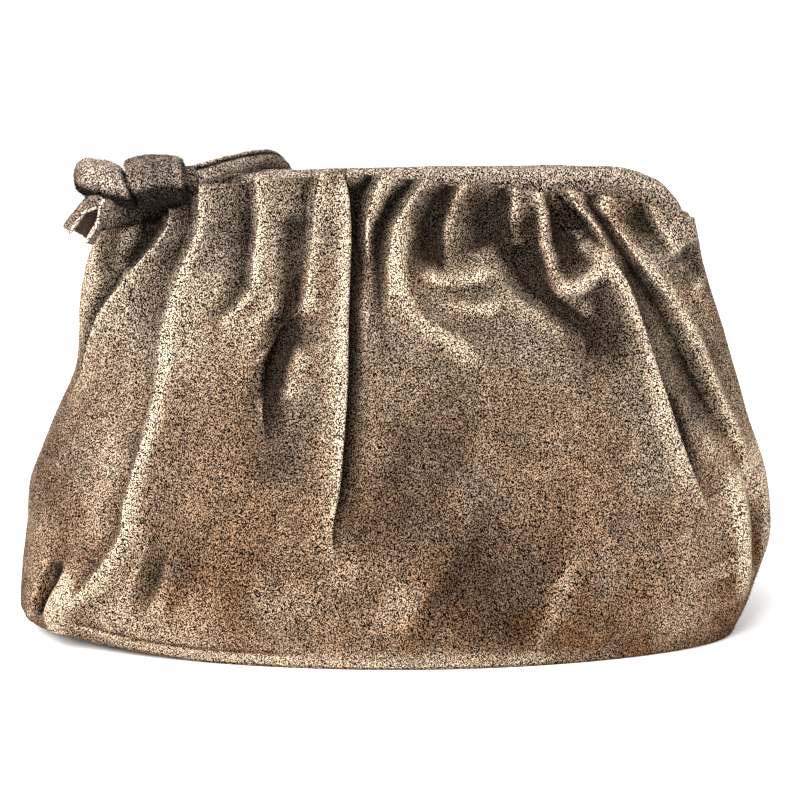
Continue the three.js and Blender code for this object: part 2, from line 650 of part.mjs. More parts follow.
// A frame rail: a rounded bar that follows the frame's outline.
function rail(side) {
  const edge = new THREE.CatmullRomCurve3(
    frameOutline.map(([x, z]) => new THREE.Vector3(x * bodyHalfWidth, 0, z * bodyHeight)),
  );
  const steps = 32;
  const thick = railThickness / 2;
  const middle = side * (gap / 2 + thick);
  const profile = [
    [0.0, -0.45], [0.0, 0.45], [0.1, 0.9], [0.26, 1], [0.86, 1],
    [1.0, 0.5], [1.0, -0.5], [0.86, -1], [0.26, -1], [0.1, -0.9],
  ];
  const rings = [];
  for (let i = 0; i <= steps; i += 1) {
    const point = edge.getPointAt(i / steps);
    const run = edge.getTangentAt(i / steps);
    const inward = new THREE.Vector3(run.z, 0, -run.x);
    rings.push(
      profile.map(([down, across]) => [
        point.x + inward.x * down * railHeight,
        middle + across * thick,
        point.z + inward.z * down * railHeight,
      ]),
    );
  }
  return facingOut(skin(rings));
}

// The knot: wraps of the strip as leaning rounded sections along its axis.
function knot() {
  const around = 18;
  const rings = knotSections.map((section) => {
    const ring = [];
    for (let j = 0; j < around; j += 1) {
      const angle = (2 * Math.PI * j) / around;
      const y = Math.cos(angle) * section.radius * knotRadius;
      const z = Math.sin(angle) * section.radius * knotRadius;
      ring.push([
        knotCentre[0] + section.along * knotRadius - section.lean * z,
        knotCentre[1] + y,
        knotCentre[2] + z - section.drop * knotRadius,
      ]);
    }
    return ring;
  });
  return facingOut(skin(rings));
}

// The tail: an open roll of the strip, cut square.
function tail() {
  const curve = new THREE.CatmullRomCurve3(
    tailRoute.map(([x, y, z]) => new THREE.Vector3(
      knotCentre[0] + x * knotRadius,
      knotCentre[1] + y * knotRadius,
      knotCentre[2] + z * knotRadius - tailRadius,
    )),
  );
  const steps = 6;
  const opening = 1.1;
  const turn = 12;
  const facing = 0.9;
  const rings = [];
  for (let i = 0; i <= steps; i += 1) {
    const point = curve.getPointAt(i / steps);
    const run = curve.getTangentAt(i / steps);
    const forward = new THREE.Vector3(0, -1, 0).addScaledVector(run, run.y).normalize();
    const sideways = new THREE.Vector3().crossVectors(run, forward);
    const ring = [];
    const wall = (radius, back) => {
      for (let j = 0; j <= turn; j += 1) {
        const share = back ? 1 - j / turn : j / turn;
        const angle = facing + opening / 2 + (2 * Math.PI - opening) * share;
        const place = point
          .clone()
          .addScaledVector(forward, Math.cos(angle) * radius)
          .addScaledVector(sideways, Math.sin(angle) * radius);
        ring.push(place.toArray());
      }
    };
    wall(tailRadius, false);
    wall(tailRadius - tailWall, true);
    rings.push(ring);
  }
  return facingOut(channel(rings, turn));
}

// A skin over C-shaped rings: the end faces are strips between the outer and the inner arc.
function channel(rings, turn) {
  const round = rings[0].length;
  const vertices = rings.flat();
  const faces = [];
  for (let i = 0; i + 1 < rings.length; i += 1) {
    for (let j = 0; j < round; j += 1) {
      const a = i * round + j;
      const b = i * round + ((j + 1) % round);
      faces.push([a, b, b + round], [a, b + round, a + round]);
    }
  }
  const last = (rings.length - 1) * round;
  for (let j = 0; j < turn; j += 1) {
    const inside = round - 1 - j;
    faces.push([j, inside, j + 1], [j + 1, inside, inside - 1]);
    faces.push([last + j, last + j + 1, last + inside], [last + j + 1, last + inside - 1, last + inside]);
  }
  return { vertices, faces };
}

// The strap: a plain round tube along its route.
function strap() {
  const curve = new THREE.CatmullRomCurve3(strapRoute.map((p) => new THREE.Vector3(...p)));
  const circle = new THREE.Shape();
  circle.absarc(0, 0, strapDiameter / 2, 0, Math.PI * 2, false);
  return new THREE.ExtrudeGeometry(circle, { steps: 52, curveSegments: 4, extrudePath: curve });
}

const materials = {
  suede: { color: 0x8f7a66, roughness: 0.95 },
  frame: { color: 0x8c7b6b, roughness: 0.92 },
  strap: { color: 0x7d6c5c, roughness: 0.95 },
  leather: { color: 0x4a2f1e, roughness: 0.8 },
};

const group = new THREE.Group();

function add(name, geometry, look) {
  const material = new THREE.MeshStandardMaterial({ ...materials[look], metalness: 0 });
  const mesh = new THREE.Mesh(geometry, material);
  mesh.name = name;
  group.add(mesh);
}

const front = panel(frontFolds, frontEdges, frontMarks, false, pleatColumns, panelRows);
const back = panel(backFolds(), backEdges(), [], true, backColumns, backRows);
add("front_panel", geometryOf(facingOut(front)), "suede");
add("back_panel", geometryOf(facingOut(back)), "suede");
add("bottom_panel", geometryOf(basePanel()), "suede");
add("frame_front", geometryOf(rail(-1)), "frame");
add("frame_back", geometryOf(rail(1)), "frame");
add("strap", strap(), "strap");
add("knot", geometryOf(knot()), "strap");
add("tail", geometryOf(tail()), "leather");

export default group;
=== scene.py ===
"""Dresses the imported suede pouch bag: pleated body, covered frame rails, knot, tail and strap. Metres."""

import math

import bpy
import numpy as np
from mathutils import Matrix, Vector


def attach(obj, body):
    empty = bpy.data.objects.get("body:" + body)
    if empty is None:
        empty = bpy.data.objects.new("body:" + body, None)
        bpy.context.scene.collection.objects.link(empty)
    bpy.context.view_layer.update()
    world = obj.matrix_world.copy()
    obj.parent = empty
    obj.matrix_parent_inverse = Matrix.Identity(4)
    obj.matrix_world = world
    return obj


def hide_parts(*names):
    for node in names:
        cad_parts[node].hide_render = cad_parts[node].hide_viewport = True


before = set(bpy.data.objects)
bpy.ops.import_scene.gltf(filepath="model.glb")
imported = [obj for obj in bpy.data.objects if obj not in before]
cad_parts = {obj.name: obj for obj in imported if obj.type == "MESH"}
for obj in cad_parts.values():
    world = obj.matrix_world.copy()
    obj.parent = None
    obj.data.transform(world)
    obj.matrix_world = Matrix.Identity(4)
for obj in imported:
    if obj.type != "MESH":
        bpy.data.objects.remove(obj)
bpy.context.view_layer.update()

MM = 0.001

# ---------------------------------------------------------------- camera


def add_camera(target, elevation, distance, lens):
    """A camera straight in front of the bag and a little above it."""
    camera = bpy.data.cameras.new("camera")
    camera.sensor_width = 36
    camera.lens = lens
    camera.clip_start = 0.01
    holder = bpy.data.objects.new("camera", camera)
    bpy.context.scene.collection.objects.link(holder)
    angle = math.radians(elevation)
    away = Vector((0, -math.cos(angle), math.sin(angle)))
    holder.location = Vector(target) + away * distance
    holder.rotation_euler = (-away).to_track_quat("-Z", "Y").to_euler()
    bpy.context.scene.camera = holder


add_camera(target=(0.0009, 0, 0.0984), elevation=14, distance=0.9, lens=91.4)

# ---------------------------------------------------------------- the part's named sizes, in millimetres

BODY_HALF_WIDTH = 165
BODY_HEIGHT = 203
BODY_DEPTH = 80
SUEDE = 2.2
GAP = 0.4
FOLD_LIFT = 5
FOLD_REACH = 10
PLEAT_STEP = 2.6
BASE_THICKNESS = 2.2
RAIL_THICKNESS = 7.5
RAIL_HEIGHT = 17
STRAP_DIAMETER = 8.5
KNOT_RADIUS = 11
TAIL_RADIUS = 6
TAIL_WALL = 1.8

KNOT_CENTRE = np.array([
    -0.627 * BODY_HALF_WIDTH,
    -(GAP / 2 + RAIL_THICKNESS + 3 * GAP + KNOT_RADIUS),
    0.921 * BODY_HEIGHT + 1.02 * KNOT_RADIUS + 3 * GAP,
])

# Cross-sections of the body, from the base up, as shares of the named sizes.
SECTION_COLUMNS = "height left right front bulge back hind round"
SECTIONS = [
    [0.0, 0.935, 0.9, 0.52, 0.4, 0.56, 0.14, 7],
    [0.06, 1.012, 0.94, 0.6, 0.38, 0.62, 0.15, 5],
    [0.12, 1.012, 0.972, 0.63, 0.37, 0.64, 0.15, 4.2],
    [0.22, 1.0, 1.004, 0.63, 0.34, 0.64, 0.14, 3.5],
    [0.32, 0.988, 0.99, 0.6, 0.3, 0.62, 0.12, 3.2],
    [0.4, 0.95, 0.963, 0.56, 0.26, 0.58, 0.1, 3],
    [0.49, 0.9, 0.925, 0.51, 0.21, 0.53, 0.08, 2.9],
    [0.59, 0.853, 0.884, 0.44, 0.15, 0.46, 0.06, 2.9],
    [0.71, 0.84, 0.838, 0.34, 0.08, 0.36, 0.03, 3],
    [0.79, 0.82, 0.804, 0.275, 0.04, 0.28, 0.01, 4],
    [0.85, 0.795, 0.784, 0.23, 0.015, 0.23, 0, 5.5],
    [0.89, 0.785, 0.772, 0.21, 0, 0.2, 0, 6],
    [1.0, 0.785, 0.765, 0.2, 0, 0.19, 0, 6],
]

# Folds of the front panel: height, across, lift left and right of the line, and how far each lift reaches.
FOLD_COLUMNS = "height across left right left_reach right_reach"
FRONT_FOLDS = [
    [[0.92, -0.76, -0.5, 0.5, 1, 1], [0.886, -0.766, -0.9, 0.8, 1, 1], [0.835, -0.806, -1.1, 0.9, 1, 1.2],
     [0.75, -0.876, -1.0, 0.9, 0.8, 1.4], [0.686, -0.93, -0.8, 0.7, 0.7, 1.4],
     [0.586, -0.965, -0.3, 0.3, 0.7, 1.2], [0.45, -0.975, 0, 0, 0.7, 1], [0, -0.985, 0, 0, 0.7, 1]],
    [[0.97, -0.66, -0.7, 0.4, 0.8, 0.6], [0.9, -0.665, -1.1, 0.7, 1, 0.6], [0.763, -0.7, -0.9, 0.9, 1.1, 0.7],
     [0.625, -0.723, -0.5, 1, 1.2, 0.7], [0.46, -0.706, -0.1, 1.1, 1.2, 0.8], [0.29, -0.702, 0.1, 1.1, 1.2, 1.1],
     [0.23, -0.735, 0.2, 1, 1.2, 1.3], [0.16, -0.79, 0.3, 0.9, 1.2, 1.4], [0.06, -0.89, 0.4, 0.6, 1, 1.2],
     [0, -0.92, 0, 0, 1, 1]],
    [[0.985, -0.475, -0.4, 0.4, 0.9, 0.7], [0.9, -0.47, -0.45, 0.5, 1, 0.6], [0.8, -0.468, -0.55, 0.6, 1, 0.6],
     [0.775, -0.462, -0.6, 0.6, 0.9, 0.5], [0.72, -0.505, -0.6, 0.4, 0.7, 0.5],
     [0.695, -0.54, -0.4, 0.2, 0.7, 0.7], [0.6, -0.53, 0, 0, 0.8, 0.8], [0.25, -0.48, 0, 0, 1, 1],
     [0, -0.5, 0, 0, 1, 1]],
    [[0.99, -0.263, -0.4, 0.5, 0.9, 0.7], [0.915, -0.283, -0.45, 0.7, 1, 0.7], [0.8, -0.287, -0.55, 0.7, 1, 0.7],
     [0.73, -0.296, -0.8, 0.4, 0.8, 0.7], [0.69, -0.345, -0.9, -0.6, 0.7, 0.9],
     [0.65, -0.38, -0.5, -1.3, 0.6, 1.1], [0.615, -0.41, -0.3, -1.5, 0.6, 1.1], [0.565, -0.41, -0.3, -1.3, 0.7, 1],
     [0.52, -0.39, -0.2, -0.6, 0.8, 0.9], [0.44, -0.36, 0, 0, 0.8, 0.8], [0, -0.36, 0, 0, 1, 1]],
    [[0.99, -0.174, 0.4, 0.3, 0.9, 0.8], [0.945, -0.172, 0.8, -0.5, 0.9, 0.7],
     [0.84, -0.163, 0.8, -0.9, 1, 0.6], [0.69, -0.16, 0.7, -0.8, 1, 0.6],
     [0.56, -0.156, 0.6, -0.65, 1.1, 0.7], [0.386, -0.154, 0.4, -0.45, 1.2, 0.9],
     [0.295, -0.165, 0.2, -0.25, 1.2, 1], [0.22, -0.15, 0, 0, 1, 1], [0.16, -0.136, 0, 0, 1, 1],
     [0, -0.13, 0, 0, 1, 1]],
    [[0.985, -0.063, -0.7, 0.4, 0.5, 0.8], [0.95, -0.09, -1, 0.5, 0.6, 0.7], [0.905, -0.11, -1, 0.5, 0.5, 0.6],
     [0.86, -0.115, -0.8, 0.3, 0.5, 0.5], [0.8, -0.1, -0.5, 0, 0.5, 0.5], [0.7, -0.085, 0, 0, 0.5, 0.5],
     [0.25, -0.085, 0, 0, 0.6, 0.6], [0, -0.07, 0, 0, 1, 1]],
    [[0.98, 0.079, -0.7, 0.5, 0.5, 0.8], [0.925, 0.016, -1, 0.7, 0.6, 0.8], [0.873, -0.026, -1.1, 0.8, 0.6, 0.9],
     [0.8, -0.04, -0.9, 0.9, 0.6, 0.9], [0.74, -0.04, -0.4, 0.5, 0.7, 0.9], [0.62, -0.02, 0, 0, 0.8, 0.9],
     [0.25, 0, 0, 0, 1, 1], [0, 0, 0, 0, 1, 1]],
    [[0.97, 0.21, -0.7, 0.5, 0.5, 0.8], [0.935, 0.178, -0.7, 0.3, 0.6, 0.7], [0.897, 0.152, -0.8, 0.2, 0.7, 0.6],
     [0.85, 0.142, -0.9, 0.2, 0.7, 0.6], [0.812, 0.152, -0.7, 0.1, 0.7, 0.6], [0.77, 0.17, 0, 0, 0.8, 0.6],
     [0.5, 0.17, 0, 0, 1, 1], [0, 0.13, 0, 0, 1, 1]],
    [[0.96, 0.378, -0.5, 0.5, 0.9, 0.8], [0.906, 0.368, -0.7, 0.6, 0.9, 0.8], [0.867, 0.362, -0.8, 0.3, 0.9, 0.8],
     [0.84, 0.363, -0.9, -0.3, 0.8, 0.8], [0.817, 0.368, -1, -1.1, 0.7, 0.9], [0.773, 0.395, -1, -1.5, 0.6, 0.9],
     [0.735, 0.44, -1, -1.4, 0.6, 0.8], [0.69, 0.53, -0.8, -1, 0.6, 0.6], [0.655, 0.56, -0.3, -0.4, 0.6, 0.6],
     [0.6, 0.54, 0, 0, 0.9, 0.9], [0.5, 0.44, 0, 0, 1, 1],
     [0.25, 0.33, 0, 0, 1, 1], [0, 0.3, 0, 0, 1, 1]],
    [[0.955, 0.552, -0.5, 0.6, 0.5, 0.5], [0.925, 0.58, -1.2, 0.8, 0.8, 0.5], [0.892, 0.63, -1.2, 0.9, 0.9, 0.5],
     [0.856, 0.665, -0.6, 1, 0.8, 0.6], [0.822, 0.686, 0.6, 1.1, 0.8, 0.6], [0.784, 0.71, 1, 0.7, 0.9, 0.4],
     [0.715, 0.727, 1.1, 0.3, 1, 0.4], [0.6, 0.74, 1.1, 0, 1, 0.4], [0.49, 0.752, 1, -0.2, 1.1, 0.6],
     [0.42, 0.765, 0.7, -0.2, 1.2, 0.8], [0.34, 0.79, 0.3, 0, 1.2, 0.8], [0.28, 0.82, 0, 0, 1, 1],
     [0, 0.85, 0, 0, 1, 1]],
    [[0.945, 0.674, -0.6, 0.4, 0.5, 0.8], [0.925, 0.665, -0.6, 0.4, 0.5, 0.8], [0.89, 0.7, -0.9, 0.3, 0.5, 0.6],
     [0.847, 0.735, -1.3, 0.6, 0.7, 0.6], [0.813, 0.765, -1.5, 0.8, 0.9, 0.6], [0.771, 0.8, -1.6, 0.9, 1.1, 0.6],
     [0.721, 0.835, -1.5, 0.9, 1.2, 0.6], [0.656, 0.865, -1.4, 0.9, 1.3, 0.6], [0.574, 0.89, -1.2, 0.8, 1.3, 0.6],
     [0.463, 0.915, -0.6, 0.6, 1.2, 0.6], [0.371, 0.93, -0.2, 0.4, 1, 0.7], [0.28, 0.94, 0, 0, 0.9, 0.7],
     [0, 0.94, 0, 0, 1, 1]],
    [[0.93, 0.832, -0.6, 0.1, 0.6, 0.8], [0.887, 0.85, -0.7, 0.2, 0.7, 0.7], [0.847, 0.878, -0.4, 0.4, 0.7, 0.6],
     [0.81, 0.905, 0, 0.4, 0.7, 0.5], [0.74, 0.93, 0.2, 0.2, 0.7, 0.5], [0.6, 0.955, 0, 0, 0.7, 0.5],
     [0, 0.975, 0, 0, 0.7, 0.5]],
]

# Top and bottom edge at each fold line: top left, top right, bottom left, bottom right.
FRONT_EDGES = [
    [0.85, 0.85, 0.03, 0.03], [0.886, 0.912, 0.044, 0.044], [0.921, 0.966, 0.05, 0.05],
    [0.964, 0.98, 0.014, 0.014], [0.976, 0.99, 0.014, 0.014], [0.994, 0.994, 0.014, 0.014],
    [0.978, 0.987, 0.014, 0.014], [0.968, 0.979, 0.014, 0.014], [0.955, 0.966, 0.014, 0.014],
    [0.952, 0.958, 0.014, 0.014], [0.941, 0.952, 0.014, 0.014], [0.938, 0.942, 0.014, 0.014],
    [0.92, 0.92, 0.014, 0.014], [0.875, 0.875, 0.014, 0.014],
]

# Smaller creases, ridges and dents: lift, reach and a path of across and height shares.
FRONT_MARKS = {
    "side fold": (0.5, 0.5, [[-0.885, 0.9], [-0.885, 0.76]]),
    "side crease": (-0.7, 0.5, [[-0.925, 0.9], [-0.93, 0.76]]),
    "middle pleat crease": (-0.6, 0.4, [[-0.347, 0.878], [-0.335, 0.744], [-0.355, 0.7]]),
    "left pocket": (-0.9, 0.7, [[-0.32, 0.7], [-0.35, 0.65], [-0.375, 0.6], [-0.38, 0.56], [-0.36, 0.535]]),
    "pocket ridge": (0.4, 0.6, [[-0.285, 0.66], [-0.33, 0.6], [-0.33, 0.54]]),
    "centre ridge": (0.7, 0.6, [[0.01, 0.868], [0.003, 0.816], [0.018, 0.762], [0.048, 0.717], [0.094, 0.685],
                                 [0.165, 0.657], [0.22, 0.623], [0.267, 0.594]]),
    "centre pocket": (-0.8, 0.8, [[0.12, 0.92], [0.1, 0.878], [0.1, 0.83], [0.13, 0.8]]),
    "upper swag": (0.55, 0.45, [[0.055, 0.81], [0.11, 0.778], [0.175, 0.77], [0.253, 0.778], [0.315, 0.787]]),
    "swag crease": (-0.4, 0.4, [[0.11, 0.755], [0.2, 0.747], [0.31, 0.755]]),
    "lower swag": (0.5, 0.45, [[0.095, 0.744], [0.17, 0.73], [0.246, 0.725], [0.337, 0.72]]),
    "pleat hollow": (-0.7, 1, [[0.277, 0.908], [0.3, 0.83]]),
    "roll over the valley": (0.6, 0.9, [[0.47, 0.8], [0.5, 0.755], [0.57, 0.735], [0.64, 0.73]]),
    "right pocket": (-1.9, 0.65, [[0.548, 0.925], [0.565, 0.873], [0.572, 0.835]]),
    "pocket rim": (1, 0.36, [[0.47, 0.95], [0.495, 0.905], [0.487, 0.845], [0.495, 0.785], [0.52, 0.762],
                            [0.575, 0.765], [0.635, 0.79], [0.672, 0.825]]),
    "side slot": (-1, 0.6, [[0.93, 0.838], [0.955, 0.75]]),
    "right valley": (-0.4, 0.9, [[0.765, 0.76], [0.81, 0.69], [0.845, 0.585], [0.865, 0.5], [0.885, 0.44]]),
    "corner edge": (0.9, 0.6, [[0.9, 0.4], [0.885, 0.33], [0.885, 0.25], [0.9, 0.17], [0.94, 0.07]]),
    "corner crease": (-1.3, 0.7, [[0.965, 0.38], [0.96, 0.25], [0.98, 0.13]]),
    "kink under the long fold": (0.2, 0.8, [[-0.175, 0.29], [-0.12, 0.243], [-0.13, 0.16]]),
    "low left dent": (-0.7, 1.8, [[-0.66, 0.19], [-0.6, 0.17]]),
    "corner bulb": (0.7, 0.6, [[-0.82, 0.16], [-0.87, 0.1], [-0.88, 0.05]]),
    "crease beside the bulb": (-0.9, 0.4, [[-0.87, 0.2], [-0.91, 0.12], [-0.96, 0.04]]),
    "low middle dent": (-0.8, 2.4, [[0.12, 0.25], [0.31, 0.16], [0.41, 0.13]]),
}

# Painted shade in the hollows and painted highlights on ridges, faces and edges, with a few pale worn places: tone,
# reach and a path of across and height shares.
FRONT_PAINTED_LIGHT = {
    "side crease": (-0.6, 0.3, [[-0.9, 0.9], [-0.88, 0.8]]),
    "first hollow": (-0.6, 0.5, [[-0.83, 0.9], [-0.84, 0.85], [-0.875, 0.78]]),
    "second hollow": (-0.35, 0.7, [[-0.74, 0.92], [-0.735, 0.85], [-0.75, 0.78]]),
    "third face": (0.6, 1.4, [[-0.66, 0.82], [-0.66, 0.68], [-0.64, 0.55]]),
    "left pocket": (-0.95, 0.4, [[-0.31, 0.76], [-0.325, 0.7], [-0.36, 0.645], [-0.4, 0.6], [-0.405, 0.56],
                            [-0.4, 0.53]]),
    "pocket shade": (-0.45, 0.9, [[-0.3, 0.73], [-0.32, 0.67], [-0.36, 0.61], [-0.38, 0.56]]),
    "sixth crease": (-0.3, 0.35, [[-0.01, 0.965], [-0.06, 0.9], [-0.09, 0.86], [-0.09, 0.81]]),
    "seventh crease": (-0.5, 0.4, [[0.17, 0.95], [0.13, 0.91], [0.1, 0.86], [0.11, 0.8]]),
    "seventh lip": (0.25, 0.35, [[0.21, 0.95], [0.17, 0.89], [0.165, 0.82]]),
    "brown pleat": (-0.6, 1.1, [[0.3, 0.92], [0.29, 0.86], [0.3, 0.81]]),
    "lump": (0.2, 0.6, [[0.41, 0.95], [0.4, 0.88]]),
    "broad valley": (-1.7, 0.3, [[0.355, 0.883], [0.356, 0.833], [0.39, 0.793], [0.425, 0.763], [0.465, 0.74],
                                [0.515, 0.71], [0.58, 0.683]]),
    "valley's upper crease": (-1.3, 0.16, [[0.365, 0.937], [0.358, 0.883], [0.358, 0.85]]),
    "valley shade": (-1.0, 0.75, [[0.42, 0.883], [0.44, 0.823], [0.465, 0.783], [0.51, 0.753]]),
    "right pocket": (-1.3, 0.38, [[0.53, 0.89], [0.54, 0.853], [0.57, 0.825], [0.6, 0.815]]),
    "pocket rim": (0.2, 0.25, [[0.48, 0.93], [0.495, 0.87], [0.5, 0.79], [0.54, 0.765], [0.6, 0.78],
                               [0.65, 0.82]]),
    "roll crease": (-0.55, 0.5, [[0.785, 0.573], [0.78, 0.51], [0.79, 0.447], [0.805, 0.39]]),
    "face behind the roll": (-0.6, 1.3, [[0.695, 0.91], [0.745, 0.87], [0.785, 0.827]]),
    "corner slot": (-0.6, 0.35, [[0.97, 0.85], [0.99, 0.77], [0.985, 0.715]]),
    "brown cloud on the roll": (-0.55, 1.3, [[0.6, 0.78], [0.65, 0.7], [0.67, 0.6]]),
    "low dark cloud": (-0.6, 3, [[0.06, 0.24], [0.31, 0.155], [0.425, 0.11]]),
    "middle cloud": (-0.3, 3.5, [[0, 0.5], [0.2, 0.42]]),
    "low left dent": (-0.5, 2, [[-0.62, 0.22], [-0.51, 0.17]]),
    "left side": (-0.3, 3, [[-0.95, 0.45], [-0.93, 0.25]]),
    "third pleat's far side": (-0.3, 0.9, [[-0.53, 0.94], [-0.52, 0.82]]),
    "under the knot": (-1.1, 0.6, [[-0.895, 0.9], [-0.845, 0.907], [-0.795, 0.92]]),
    "roll ridge": (0.4, 0.35, [[0.57, 0.955], [0.64, 0.88], [0.7, 0.8], [0.74, 0.72], [0.76, 0.6],
                               [0.77, 0.48]]),
    "worn corner": (2.2, 0.5, [[-0.82, 0.17], [-0.855, 0.13], [-0.875, 0.09], [-0.86, 0.05]]),
    "corner crease": (-1.0, 0.22, [[-0.86, 0.2], [-0.9, 0.12], [-0.95, 0.05]]),
    "pale fold's near edge": (0.9, 0.13, [[0.905, 0.357], [0.87, 0.27], [0.88, 0.207]]),
    "pale fold's far edge": (0.8, 0.13, [[0.973, 0.39], [0.955, 0.3], [0.927, 0.207]]),
    "shade beside the long fold": (-0.5, 1.3, [[-0.36, 0.573], [-0.36, 0.507], [-0.33, 0.42], [-0.315, 0.357]]),
    "centre cloud": (-0.3, 2.2, [[-0.125, 0.397], [-0.02, 0.34], [0.055, 0.263]]),
    "third ridge": (0.5, 0.8, [[-0.75, 0.67], [-0.73, 0.533], [-0.71, 0.433]]),
    "second ridge": (0.45, 1.2, [[-0.8, 0.507], [-0.775, 0.41], [-0.76, 0.29], [-0.79, 0.207]]),
    "second brown pleat": (-0.35, 0.8, [[0.17, 0.913], [0.18, 0.793]]),
    "under the roll": (-0.4, 1.2, [[0.515, 0.713], [0.56, 0.637], [0.585, 0.56]]),
    "low pale band": (0.4, 1.5, [[-0.845, 0.093], [-0.63, 0.087], [-0.395, 0.09]]),
    "low pale middle": (0.4, 1.4, [[-0.045, 0.163], [0.055, 0.12]]),
    "low pale right": (0.3, 2, [[0.655, 0.07], [0.865, 0.11]]),
    "between the ridges": (0.35, 0.7, [[0.795, 0.73], [0.825, 0.657], [0.85, 0.597]]),
    "right foot": (0.4, 1.5, [[0.835, 0.2], [0.86, 0.153]]),
    "right waist": (0.35, 1, [[0.91, 0.457], [0.9, 0.403]]),
    "pale pleat under the knot": (0.3, 0.8, [[-0.74, 0.903], [-0.69, 0.853]]),
    "bottom rim": (0.9, 0.5, [[-0.8, 0.03], [-0.5, 0.014], [0, 0.014], [0.6, 0.014]]),
    "right side": (1.2, 2.2, [[0.96, 0.42], [0.98, 0.28]]),
    "right band": (0.3, 1.8, [[0.83, 0.5], [0.86, 0.4], [0.88, 0.3]]),
    "seam": (1.0, 0.11, [[-0.86, 0.078], [-0.8, 0.058], [-0.66, 0.036], [-0.45, 0.026], [-0.2, 0.024]]),
    "seam's shade": (-0.9, 0.1, [[-0.86, 0.092], [-0.8, 0.07], [-0.66, 0.047], [-0.45, 0.036], [-0.2, 0.034]]),
}

# The back panel's even gathers: the height where they fade, its top in the middle and at either side, and
# its bottom there and at the left side seam.
BACK_PLEATS = 10
BACK_FADE = 0.62
BACK_TOP = 0.955
BACK_SIDE_TOP = [0.86, 0.878]
BACK_BOTTOM = 0.014
BACK_CORNER = 0.03

# The rails' upper edge, as shares of the half width and the height.
FRAME_OUTLINE = [
    [-0.762, 0.83], [-0.762, 0.87], [-0.752, 0.903], [-0.72, 0.936], [-0.665, 0.958], [-0.58, 0.97],
    [-0.45, 0.978], [-0.3, 0.985], [-0.14, 0.99], [0.1, 0.994], [0.3, 0.995], [0.5, 0.995], [0.575, 0.992],
    [0.64, 0.978], [0.7, 0.952], [0.737, 0.916], [0.75, 0.88], [0.754, 0.83],
]

# Route of the strap's middle line, in millimetres.
STRAP_ROUTE = [
    [-85.5, -15, 200.5], [-80, -13.6, 202], [-74.8, -10.6, 203.3], [-70, -6.5, 204], [-65.5, -2, 204.4],
    [-61, 3.3, 204.5], [-57, 9, 204], [-53.6, 14.4, 202], [-51, 20.6, 198.4], [-49.2, 25, 192],
    [-47.6, 27, 184], [-46, 28.6, 175.5], [-44, 33, 164.5], [-41.5, 39.5, 150], [-40, 46, 135],
    [-39, 52, 118], [-42, 57.5, 101], [-48, 62, 86], [-59, 65, 75],
    [-73, 66, 72], [-86, 63.5, 77], [-95, 59, 88], [-100, 54, 102], [-103, 48, 119], [-105, 41, 136],
    [-106, 34.5, 152], [-107, 28.5, 168], [-107.5, 25, 180], [-107.2, 22.5, 188.5], [-106.6, 17.5, 196.7],
    [-106, 10.5, 201.4], [-105.4, 2, 202.9], [-105, -4.5, 202.8], [-105, -8.8, 202.6],
]

# ---------------------------------------------------------------- plain numbers


def mix(a, b, t):
    """From a to b as t goes from 0 to 1."""
    return a + (b - a) * t


def smooth(t):
    """From 0 to 1 with a soft start and a soft end."""
    t = np.clip(t, 0, 1)
    return t * t * (3 - 2 * t)


def bump(distance, reach):
    """A soft hump of height 1 on a line."""
    return np.exp(-((distance / reach) ** 2))


def columns(names, rows):
    """Named columns of a table as arrays."""
    return dict(zip(names.split(), np.array(rows, float).T))


def curve_at(x, y, at):
    """A smooth curve through points that never overshoots them. x may run up or down."""
    if x[-1] < x[0]:
        x, y = x[::-1], y[::-1]
    width = np.diff(x)
    rise = np.diff(y) / width
    slope = np.zeros_like(y)
    slope[0], slope[-1] = rise[0], rise[-1]
    a, b = rise[:-1], rise[1:]
    alike = a * b > 0
    slope[1:-1][alike] = 2 * a[alike] * b[alike] / (a + b)[alike]
    at = np.clip(at, x[0], x[-1])
    k = np.clip(np.searchsorted(x, at, side="right") - 1, 0, len(x) - 2)
    t = (at - x[k]) / width[k]
    a, b, step = slope[k] * width[k], slope[k + 1] * width[k], y[k + 1] - y[k]
    return y[k] + t * (a + t * (3 * step - 2 * a - b + t * (a + b - 2 * step)))


def noise(x, y, seed):
    """Smooth noise over a plane with cells of size 1, from about -1 to 1."""
    grid = np.random.default_rng(seed).uniform(-1, 1, (128, 128))
    i, j = np.floor(x).astype(int), np.floor(y).astype(int)
    s, t = x - i, y - j
    s, t = s * s * s * (s * (s * 6 - 15) + 10), t * t * t * (t * (t * 6 - 15) + 10)
    at = lambda a, b: grid[(i + a) % 128, (j + b) % 128]
    return mix(mix(at(0, 0), at(1, 0), s), mix(at(0, 1), at(1, 1), s), t)


